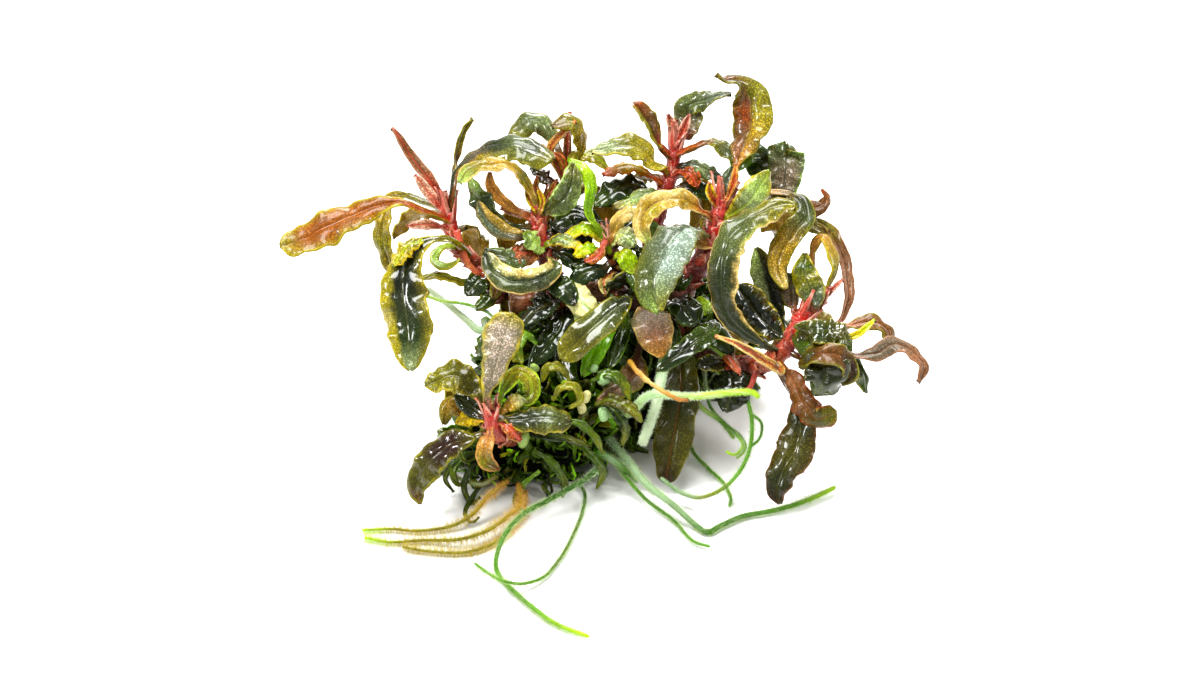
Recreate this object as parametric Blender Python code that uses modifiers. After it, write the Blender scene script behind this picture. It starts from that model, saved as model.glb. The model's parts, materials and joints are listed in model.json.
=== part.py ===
"""Kedagang bucephalandra, a clump of an aquarium plant as picked, lying bare on a surface.

Every route below is drawn on a tilted board, the way the plant is seen from in front and above: across is to the
right, up is up the board and near is towards the viewer, all in millimetres from the board's centre.
"""

import math

import bmesh
import bpy
from mathutils import Vector

MM = 0.001

# The board
VIEW_TILT = math.radians(35.0)
VIEW_DISTANCE = 500.0
BOARD_CENTRE = Vector((-0.2, 11.5, 17.5))
ACROSS = Vector((1.0, 0.0, 0.0))
UP = Vector((0.0, math.sin(VIEW_TILT), math.cos(VIEW_TILT)))
NEAR = Vector((0.0, -math.cos(VIEW_TILT), math.sin(VIEW_TILT)))

# Leaves
BLADE_THICKNESS = 0.55
STALK_WIDTH = 1.1
TIP_WIDTH = 0.5
FULLNESS = 2.216
BASE_POWER = 0.6
TIP_POWER = 0.55
WAVES_PER_LEAF = 2.5
LEAF_ROUTE_STEPS = 4
BLADE_STEPS = 7
BLADE_HALVES = 2
LEAFLET_STEPS = 4

# Shoots and roots
SHOOT_BEVEL = 1
ROOT_BEVEL = 1
ROUTE_STEPS = 2

# Gaps and welds
FLOOR_GAP = 0.05
SEAT_GAP = 0.55
END_SHARE = 0.999
WELD_DISTANCE = 0.01

# Undergrowth
LUMP_SIDES = 9
LUMP_RINGS = 6
LUMP_SWELL = 0.07
LUMP_WAVES = (5, 4)
FLOOR_CUT = (200, 200, 40)

SHOOTS = {}

COLOURS = {
    "leaf_green": ((0.07, 0.10, 0.03), 0.25),
    "leaf_slate": ((0.08, 0.11, 0.09), 0.2),
    "leaf_olive": ((0.22, 0.21, 0.05), 0.3),
    "leaf_ochre": ((0.36, 0.22, 0.06), 0.35),
    "leaf_brown": ((0.24, 0.10, 0.05), 0.3),
    "leaf_dark": ((0.015, 0.022, 0.012), 0.15),
    "shoot_red": ((0.42, 0.07, 0.05), 0.4),
    "rhizome": ((0.13, 0.04, 0.03), 0.5),
    "root": ((0.30, 0.48, 0.20), 0.6),
    "root_white": ((0.62, 0.74, 0.55), 0.8),
    "undergrowth": ((0.10, 0.22, 0.03), 0.5),
}


def board_point(across, up, near):
    """A place on the tilted board as millimetres in the plant's own frame."""
    shrink = (VIEW_DISTANCE - near) / VIEW_DISTANCE
    return BOARD_CENTRE + (ACROSS * across + UP * up) * shrink + NEAR * near


def board_direction(across, up, near):
    return (ACROSS * across + UP * up + NEAR * near).normalized()


def on_floor(across, up, height=0.6):
    """The board place that is seen at (across, up) and stands this high above the floor."""
    rise = height + FLOOR_GAP - BOARD_CENTRE.z - up * UP.z
    return (across, up, rise / (NEAR.z - up * UP.z / VIEW_DISTANCE))


def smooth_route(route, steps, seat=None):
    """Points along a smooth curve through the route's points, with this many steps between two of them."""
    points = [board_point(*place) for place in route]
    if seat:
        points[0] = seat_on(SHOOTS[seat], points[0])
    points = [points[0] * 2 - points[1]] + points + [points[-1] * 2 - points[-2]]
    smooth = []
    for before, start, end, after in zip(points, points[1:], points[2:], points[3:]):
        for step in range(steps):
            t = step / steps
            smooth.append(0.5 * (
                2 * start + (end - before) * t
                + (2 * before - 5 * start + 4 * end - after) * t ** 2
                + (3 * start - before - 3 * end + after) * t ** 3
            ))
    smooth.append(points[-2])
    return smooth


def seat_on(shoot, start):
    """The place nearest to start on a shoot's skin, kept the seat gap away from it."""
    axis, radius, end_radius = shoot
    best = None
    for index, (before, after) in enumerate(zip(axis, axis[1:])):
        run = after - before
        share = min(max((start - before).dot(run) / run.length_squared, 0), 1)
        foot = before + run * share
        if best is None or (start - foot).length < (start - best[0]).length:
            best = (foot, (index + share) / (len(axis) - 1), run.normalized())
    foot, share, along = best
    out = start - foot
    if share < END_SHARE:
        out = out - along * out.dot(along)
    return foot + out.normalized() * (radius + (end_radius - radius) * share + SEAT_GAP)


def along_route(smooth, share):
    """The point and the direction at a share of the curve's length."""
    lengths = [(b - a).length for a, b in zip(smooth, smooth[1:])]
    left = share * sum(lengths)
    last = len(lengths) - 1
    for index, length in enumerate(lengths):
        if left <= length or index == last:
            break
        left -= length
    start = smooth[index]
    end = smooth[index + 1]
    before = smooth[max(index - 1, 0)]
    after = smooth[min(index + 2, len(smooth) - 1)]
    part = left / lengths[index]
    direction = (end - before).lerp(after - start, part)
    return start.lerp(end, part), direction.normalized()


def blade_half_width(share, width, stalk):
    """Half the width of a leaf at a share of its length, past a stalk that takes the first share of it."""
    if share <= stalk:
        return STALK_WIDTH / 2
    blade = (share - stalk) / (1 - stalk)
    swell = FULLNESS * blade ** BASE_POWER * (1 - blade) ** TIP_POWER
    stub = STALK_WIDTH * (1 - blade) + TIP_WIDTH * blade
    return max(swell * width / 2, stub / 2)


def material(name):
    found = bpy.data.materials.get(name)
    if found:
        return found
    colour, roughness = COLOURS[name]
    made = bpy.data.materials.new(name)
    made.use_nodes = True
    shader = made.node_tree.nodes["Principled BSDF"]
    shader.inputs["Base Color"].default_value = (*colour, 1)
    shader.inputs["Roughness"].default_value = roughness
    shader.inputs["Metallic"].default_value = 0
    return made


def add_object(name, data, collection, colour):
    data.materials.append(material(colour))
    made = bpy.data.objects.new(name, data)
    collection.objects.link(made)
    return made


def add_leaf(name, collection, colour, width, route, face, tip_face=None, stalk=0.3, fold=0.25, curl=0.0, waves=0.0,
             steps=BLADE_STEPS, halves=BLADE_HALVES, thickness=BLADE_THICKNESS, on=None):
    """A leaf as a grid laid along its route, folded along its midrib, with a thickness from Solidify."""
    smooth = smooth_route(route, LEAF_ROUTE_STEPS, on)
    face = board_direction(*face)
    tip_face = board_direction(*tip_face) if tip_face else face
    grid = bmesh.new()
    bmesh.ops.create_grid(grid, x_segments=steps, y_segments=halves, size=0.5)
    for corner in grid.verts:
        share = corner.co.x + 0.5
        side = corner.co.y * 2
        place, direction = along_route(smooth, share)
        facing = face.lerp(tip_face, share)
        sideways = facing.cross(direction).normalized()
        facing = direction.cross(sideways).normalized()
        half = blade_half_width(share, width, stalk)
        rise = fold * abs(side) * half + curl * side ** 2 * half
        rise += waves * abs(side) * half * math.sin(share * math.tau * WAVES_PER_LEAF + side)
        corner.co = (place + sideways * side * half + facing * rise) * MM
    mesh = bpy.data.meshes.new(name)
    grid.to_mesh(mesh)
    grid.free()
    leaf = add_object(name, mesh, collection, colour)
    solid = leaf.modifiers.new("thickness", "SOLIDIFY")
    solid.thickness = thickness * MM
    solid.offset = 0
    solid.use_even_offset = False
    return leaf


def add_tube(name, collection, colour, radius, route, end_radius=None, bevel=ROOT_BEVEL, steps=ROUTE_STEPS):
    """A root or a stem as a bevelled curve that tapers to its end radius."""
    curve = bpy.data.curves.new(name, "CURVE")
    curve.dimensions = "3D"
    curve.bevel_depth = radius * MM
    curve.bevel_resolution = bevel
    curve.use_fill_caps = True
    points = smooth_route(route, steps)
    spline = curve.splines.new("POLY")
    spline.points.add(len(points) - 1)
    taper = (end_radius or radius) / radius
    for index, (point, place) in enumerate(zip(spline.points, points)):
        point.co = (*(place * MM), 1)
        point.radius = 1 + (taper - 1) * index / (len(points) - 1)
    return add_object(name, curve, collection, colour)


def make_mesh(curve_object):
    """The same tube as a closed mesh, so that leaves can be joined to it."""
    depsgraph = bpy.context.evaluated_depsgraph_get()
    mesh = bpy.data.meshes.new_from_object(curve_object.evaluated_get(depsgraph))
    welded = bmesh.new()
    welded.from_mesh(mesh)
    bmesh.ops.remove_doubles(welded, verts=welded.verts, dist=WELD_DISTANCE * MM)
    welded.to_mesh(mesh)
    welded.free()
    made = bpy.data.objects.new(curve_object.name, mesh)
    made.matrix_world = curve_object.matrix_world
    for collection in curve_object.users_collection:
        collection.objects.link(made)
    name = curve_object.name
    bpy.data.objects.remove(curve_object)
    made.name = name
    return made


def hide_helper(helper):
    helper.hide_render = True
    helper.display_type = "WIRE"


def grow_together(trunk, helpers):
    """Joins what grows from a trunk to it in one solid."""
    for helper in helpers.objects:
        hide_helper(helper)
    union = trunk.modifiers.new("grown together", "BOOLEAN")
    union.operation = "UNION"
    union.solver = "EXACT"
    union.operand_type = "COLLECTION"
    union.collection = helpers


def new_collection(name):
    made = bpy.data.collections.new(name)
    bpy.context.scene.collection.children.link(made)
    return made


def add_shoot(name, plant, colour, radius, route, leaflets, end_radius=None):
    """A rhizome with its crown, and the small leaves and bracts that grow on it."""
    helpers = new_collection(name + "_growth")
    for number, leaflet in enumerate(leaflets, 1):
        settings = {"steps": LEAFLET_STEPS, "halves": 1, "stalk": 0.25, "fold": 0.0, "face": (0, 0.4, 0.9)}
        settings.update(leaflet)
        add_leaf(f"{name}_growth_{number}", helpers, colour, **settings)
    SHOOTS[name] = (smooth_route(route, 1), radius, end_radius or radius)
    tube = add_tube(name, plant, colour, radius, route, end_radius, SHOOT_BEVEL, 1)
    trunk = make_mesh(tube)
    grow_together(trunk, helpers)
    return trunk


def add_left_rosette(plant):
    add_shoot("shoot_left", plant, "shoot_red", 1.4, [
        (-14.6, 6.0, 0.4), (-17.7, 10.2, -1.6), (-20.6, 12.6, -1.3), (-22.2, 15.5, -0.5), (-22.7, 19.0, 0.0),
    ], [
        {"width": 1.7, "route": [(-22.8, 18, 0), (-25.7, 23.5, -0.5), (-27.8, 26.2, -1), (-31.2, 31.4, -1.5)],
         "face": (0.5, 0.1, 0.9)},
        {"width": 1.3, "route": [(-22.5, 18, -0.6), (-21.8, 25, -3), (-20.8, 30.4, -3.4), (-19.1, 32.8, -3)],
         "face": (0.8, 0.1, 0.6)},
        {"width": 1.5, "route": [(-22.6, 16.2, 0), (-25.5, 16.8, 1.5), (-28.8, 16.6, 2)]},
        {"width": 1.5, "route": [(-22.8, 17.8, 0), (-25.6, 21.5, 1.2), (-27.8, 24.4, 1.6)]},
        {"width": 1.9, "route": [(-18, 10.2, -1.5), (-20.3, 8.4, 0.5), (-23.9, 9.4, 2), (-27.6, 8.8, 3)]},
        {"width": 1.4, "route": [(-21.2, 13.4, -0.6), (-23.6, 13.6, 1.4), (-24.7, 11.8, 2), (-23.1, 10.6, 2.8)],
         "face": (0.2, 0.6, 0.7)},
        {"width": 3.2, "route": [(-17.2, 9.4, -0.8), (-18, 8.8, 2), (-20, 6.4, 2.8)]},
        {"width": 4.2, "route": [(-22, 16, -0.8), (-19.5, 16.5, -5), (-18.5, 14, -9), (-18, 9, -11)],
         "face": (0.3, 0.6, -0.6), "steps": 6},
    ], end_radius=1.0)
    add_leaf("leaf_far_left", plant, "leaf_brown", 6.2, [
        (-23.8, 16.9, 3.2), (-26.6, 18.9, 4.2), (-30.3, 20.3, 5), (-34.2, 19.4, 5), (-40, 17, 6.5), (-45, 14.5, 7),
        (-47.9, 13.7, 7.5),
    ], face=(-0.1, 0.5, 0.85), on="shoot_left", stalk=0.28, waves=0.1)
    add_leaf("leaf_left_arch", plant, "leaf_slate", 5.2, [
        (-21.5, 20.0, 1.2), (-21.9, 22.5, 1.2), (-21.3, 25, 1.0), (-18.5, 27.6, 1.5), (-16.2, 28.6, 2.5),
        (-12, 28.9, 4), (-7.2, 26.6, 5.5),
    ], face=(-0.6, 0.4, 0.7), tip_face=(0.1, 0.75, 0.65), on="shoot_left", stalk=0.3, fold=0.1)
    add_leaf("leaf_left_hanging_back", plant, "leaf_olive", 3.2, [
        (-24.4, 19.2, -2), (-30, 21.4, -3.5), (-31.8, 19.9, -4), (-32.7, 15.4, -4.5), (-31.8, 11.3, -4.5),
        (-30.5, 8.9, -4),
    ], face=(0, 0.9, 0.4), tip_face=(-0.7, 0.2, 0.7), on="shoot_left", halves=1, stalk=0.3)
    add_leaf("leaf_left_hanging_front", plant, "leaf_green", 6.5, [
        (-18.4, 13.3, 1.8), (-22.4, 14.6, 4.5), (-26.9, 14, 6.5), (-29.2, 10.5, 8), (-29.6, 7, 9), (-28.9, 2, 10),
        (-28.4, -4.9, 10.5),
    ], face=(-0.1, 0.8, 0.6), tip_face=(-0.2, 0.05, 0.97), on="shoot_left", stalk=0.28, fold=0.3)


def add_middle_rosette(plant):
    add_shoot("shoot_middle", plant, "shoot_red", 1.5, [
        (-6.7, 9.0, -1.0), (-8.4, 12.6, -0.5), (-9.2, 15.6, 0.2), (-9.2, 19.2, 1),
    ], [
        {"width": 3.2, "route": [(-9.3, 16.5, 0.4), (-14, 16.8, 2), (-17, 18.6, 3), (-19.4, 24, 4)]},
        {"width": 2.2, "route": [(-9.2, 15.5, 0.5), (-11.6, 15.2, 3), (-14.6, 16.0, 4.5), (-17, 17.9, 5)]},
        {"width": 2.6, "route": [(-8.8, 13.8, 0), (-11.5, 12.2, 3), (-14.5, 12.2, 4.5), (-16.8, 12.8, 4)]},
        {"width": 2.8, "route": [(-8.6, 13, 0), (-9.3, 14, 3), (-10.8, 15.4, 4.2)]},
        {"width": 1.8, "route": [(-8.6, 13.4, 0.5), (-6, 14.8, 2), (-3.2, 14, 2.4)]},
        {"width": 4.6, "route": [(-9, 17, 0.4), (-11, 19, -4), (-13, 18, -8), (-14.5, 13, -11)],
         "face": (-0.3, 0.6, -0.6), "steps": 7},
    ], end_radius=1.1)
    add_leaf("leaf_middle_arch", plant, "leaf_ochre", 2.9, [
        (-9.2, 20.6, 2.6), (-12, 24.6, 5.6), (-15, 26.1, 7.6), (-19.2, 25.3, 8.8), (-21, 23.2, 9.2),
    ], face=(-0.3, 0.6, 0.7), tip_face=(-0.2, 0.7, 0.6), on="shoot_middle", halves=1, stalk=0.2)
    add_leaf("leaf_middle_upright", plant, "leaf_slate", 3.5, [
        (-7.5, 18.4, 2.4), (-5.8, 20.4, 4), (-4.3, 23, 4.6), (-4.2, 26, 4.2),
    ], face=(0.4, 0.2, 0.9), on="shoot_middle", stalk=0.2)
    add_leaf("leaf_middle_crescent", plant, "leaf_green", 3.4, [
        (-7.2, 12.0, 2.2), (-6.8, 10.6, 5.2), (-9.3, 8.8, 7.8), (-13, 8.4, 8.6), (-15.8, 10, 8), (-17.2, 12.6, 7),
    ], face=(0.3, 0.2, 0.9), tip_face=(-0.1, 0.3, 0.9), on="shoot_middle", stalk=0.15)


def add_back_rosette(plant):
    add_shoot("shoot_back", plant, "rhizome", 1.2, [
        (-2.5, 8.3, -4.6), (-3.4, 14.5, -6), (-4.5, 20, -5.4), (-4.8, 23.5, -5),
    ], [
        {"width": 2.2, "route": [(-4.8, 23, -5), (-3, 27.4, -4.6), (-2.8, 30.6, -3.4), (-5.6, 32.4, -2.6),
                                 (-8.3, 30.8, -2)], "face": (0.7, 0.4, 0.5), "steps": 7},
        {"width": 1.2, "route": [(-4.8, 23, -5.2), (-4.9, 29, -6.4), (-4.5, 33.8, -6.8)]},
        {"width": 2.8, "route": [(-4.9, 23, -5.2), (-6.6, 29, -7.6), (-8.5, 31.9, -7.6), (-10.5, 33.1, -7),
                                 (-13.4, 31, -6.4)], "face": (-0.3, 0.6, 0.7), "steps": 7},
        {"width": 2.7, "route": [(-4.8, 22, -5), (-7.4, 23.6, -3.4), (-10.4, 25.6, -3)]},
        {"width": 2.2, "route": [(-4.6, 21, -5.2), (-1, 21.2, -6), (1.4, 23.6, -6.2), (0.2, 26, -5.8),
                                 (-3.6, 26.8, -4.8)], "face": (0.3, 0.6, 0.7), "steps": 7},
        {"width": 5.0, "route": [(-4.6, 20, -5.8), (-5, 21.2, -9), (-6.5, 17, -14), (-7.5, 11, -17)],
         "face": (-0.1, 0.7, -0.6), "steps": 7},
        {"width": 4.8, "route": [(-4.4, 21, -5.6), (-1, 22.5, -9), (1, 19, -13.5), (1.5, 13, -16)],
         "face": (0.2, 0.7, -0.6), "steps": 7},
    ], end_radius=0.9)
    add_shoot("shoot_centre", plant, "rhizome", 0.95, [
        (3.4, 8.9, -1.4), (2.2, 11.8, -0.3), (0.8, 15.2, 0.5),
    ], [
        {"width": 1.6, "route": [(0.7, 14.6, 0.4), (-1.5, 18.5, 2.6), (-1.3, 23.2, 3.2), (-2.4, 25.6, 3),
                                 (-4.6, 26.5, 1.6)], "face": (0.5, 0.2, 0.8), "steps": 7},
        {"width": 2.3, "route": [(1.2, 14, 0.2), (3.4, 16.6, 0.2), (0.3, 17.3, -0.6), (-2.7, 16.8, -1),
                                 (-5.3, 16, -1.2)], "face": (0, 0.8, 0.5), "steps": 7},
        {"width": 2.8, "route": [(1.4, 13.6, 0.2), (3.2, 15.4, 2), (5.2, 13.8, 2.8)]},
        {"width": 2.4, "route": [(2.2, 11.8, 0), (3.4, 12.6, 2.8), (4.6, 9.8, 3.2)]},
    ], end_radius=0.8)


def add_top_rosette(plant):
    add_shoot("shoot_top", plant, "shoot_red", 1.3, [
        (6.2, 7.0, -5.1), (7.4, 13.1, -6.4), (9.4, 20.6, -6.2), (10.8, 25.1, -6), (11.4, 29.6, -5.2),
    ], [
        {"width": 1.6, "route": [(11.3, 28.6, -5.2), (11, 31, -5), (10.4, 33, -4.6)]},
        {"width": 1.4, "route": [(11.2, 28.6, -5), (12.6, 31.2, -4), (13.4, 33.4, -3.6)]},
        {"width": 2.0, "route": [(11.2, 27.2, -5), (13.4, 27.8, -3.4), (16.4, 29.2, -2.6), (18.4, 28.2, -2.2)]},
        {"width": 2.5, "route": [(10.9, 25, -5.8), (13.5, 26, -4.6), (16.2, 25, -4.2), (18.6, 23.6, -4.2)]},
        {"width": 2.2, "route": [(10.2, 21.6, -6), (13.5, 22.8, -5), (17, 21.4, -4.4)]},
        {"width": 2.6, "route": [(10, 22.4, -6), (6.4, 25.2, -4.4), (1.6, 26.4, -3.4)]},
        {"width": 3.2, "route": [(9.4, 20.2, -6), (5.6, 22.9, -3), (2.3, 22.1, -1.8), (-0.6, 20, -1.8)],
         "face": (0, 0.6, 0.7)},
        {"width": 2.4, "route": [(9.2, 19.8, -6), (8.2, 22, -2.4), (6, 21.6, -0.8)], "face": (0, 0.5, 0.8)},
        {"width": 5.2, "route": [(11, 24, -6.4), (12, 23.5, -11), (12.5, 18, -15.5), (12.2, 11, -18)],
         "face": (0.1, 0.7, -0.6), "steps": 7},
        {"width": 4.8, "route": [(10.4, 23, -6.6), (6.5, 22, -9.5), (4.5, 17, -13), (4, 11, -15)],
         "face": (-0.3, 0.6, -0.6), "steps": 7},
    ], end_radius=1.0)
    add_leaf("leaf_top_folded", plant, "leaf_olive", 2.6, [
        (9.3, 26.8, -4.4), (8.4, 29.4, -4.2), (7.1, 32.4, -4.5), (5.1, 35, -5),
    ], face=(0.7, 0.3, 0.7), on="shoot_top", halves=1, stalk=0.15, fold=0.8)
    add_leaf("leaf_top_slate", plant, "leaf_slate", 3.2, [
        (12.6, 30.2, -7.0), (13.2, 32.5, -7), (13.2, 34.6, -6.6), (15.3, 35.5, -5.8), (18, 36.3, -5.2), (19.7, 36.5, -5),
    ], face=(-0.6, 0.3, 0.7), tip_face=(-0.1, 0.5, 0.85), on="shoot_top", stalk=0.15)
    add_leaf("leaf_top_yellow", plant, "leaf_olive", 3.9, [
        (9.1, 24.6, -3.7), (8.2, 26.4, -2.2), (6.4, 28.2, -0.6), (3.6, 28.9, 0.4), (-1.2, 27.8, 1.2),
    ], face=(-0.4, 0.6, 0.6), tip_face=(-0.1, 0.7, 0.7), on="shoot_top", stalk=0.15, waves=0.15)


def add_upper_right_rosette(plant):
    add_shoot("shoot_upper_right", plant, "shoot_red", 1.9, [
        (11.4, 5.5, -4.2), (13.5, 9, -1), (16, 12.5, 1), (17.6, 16.5, 2.5), (18.4, 21, 3),
    ], [
        {"width": 1.8, "route": [(18.2, 19.6, 3), (18.6, 22.4, 4), (20, 25.6, 4.4)]},
        {"width": 1.6, "route": [(18, 19, 3), (16.6, 21.4, 4.4), (16.2, 23.6, 5)]},
        {"width": 3.0, "route": [(18.4, 20.4, 2.6), (20.4, 25.4, -0.8), (21.8, 28.4, -2.8), (24, 27.6, -4.4),
                                 (25, 25, -5.2)], "face": (-0.2, 0.6, 0.7), "steps": 7},
        {"width": 1.4, "route": [(16, 12.4, 1.6), (13.5, 13.6, 3.2), (12.2, 14.2, 3.2)]},
        {"width": 5.0, "route": [(18, 18.5, 2.2), (21.5, 18.5, -3), (23.5, 15, -8), (24, 9, -11)],
         "face": (0.4, 0.6, -0.6), "steps": 7},
    ], end_radius=1.35)
    add_leaf("leaf_upper_right_tall", plant, "leaf_olive", 4.1, [
        (19.6, 22.6, 2.4), (21.2, 27.6, 2), (22.6, 31.6, 1.2), (22.7, 35.4, 0.8), (21, 38.2, 1.6), (18.8, 38.6, 3),
        (17.4, 39.4, 4),
    ], face=(-0.5, 0.1, 0.85), tip_face=(0.1, 0.8, 0.5), on="shoot_upper_right", stalk=0.25)
    add_leaf("leaf_upper_right_frilly", plant, "leaf_slate", 5.2, [
        (20.2, 20.2, 1.8), (23, 19.6, 0.6), (26.3, 20.8, -0.6), (27.8, 24, -1.4), (27.9, 29.2, -2),
    ], face=(0, 0.4, 0.9), on="shoot_upper_right", stalk=0.4, waves=0.15)
    add_leaf("leaf_upper_right_pale", plant, "leaf_green", 3.7, [
        (19.9, 17.4, 4.6), (21.8, 19.8, 6.4), (24, 22.7, 7), (25.2, 24.8, 6.6),
    ], face=(0.4, 0.2, 0.9), on="shoot_upper_right", stalk=0.15)
    add_leaf("leaf_upper_right_hanging", plant, "leaf_olive", 3.2, [
        (20.2, 18.6, 3.2), (25, 21.5, 3.4), (29.6, 20.9, 4.6), (30.8, 18.4, 6), (28.8, 15.8, 7), (27.2, 13.2, 7.6),
        (26.7, 10.3, 8), (27.8, 7.3, 8),
    ], face=(0, 0.8, 0.6), tip_face=(0.1, 0.1, 0.98), on="shoot_upper_right", stalk=0.4)
    add_leaf("leaf_upper_right_ochre", plant, "leaf_ochre", 3.0, [
        (15.9, 17.4, 4.2), (14.4, 19.6, 5.6), (12.3, 20.8, 6.8), (9.2, 20.6, 7.6), (6.9, 18.9, 8), (6.2, 16.4, 8),
        (7.4, 14, 7.6),
    ], face=(0.3, 0.6, 0.7), tip_face=(-0.4, 0.2, 0.9), on="shoot_upper_right", halves=1, stalk=0.15)
    add_leaf("leaf_upper_right_broad", plant, "leaf_slate", 5.8, [
        (14.9, 14.8, 4.6), (14, 16.4, 6.6), (12.2, 16, 8.6), (10, 13.4, 10), (8.5, 10, 10.6), (8, 6.6, 10.8),
        (8.9, 3.8, 10.6),
    ], face=(0, 0.8, 0.6), tip_face=(-0.2, 0.2, 0.95), on="shoot_upper_right", stalk=0.2)


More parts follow.
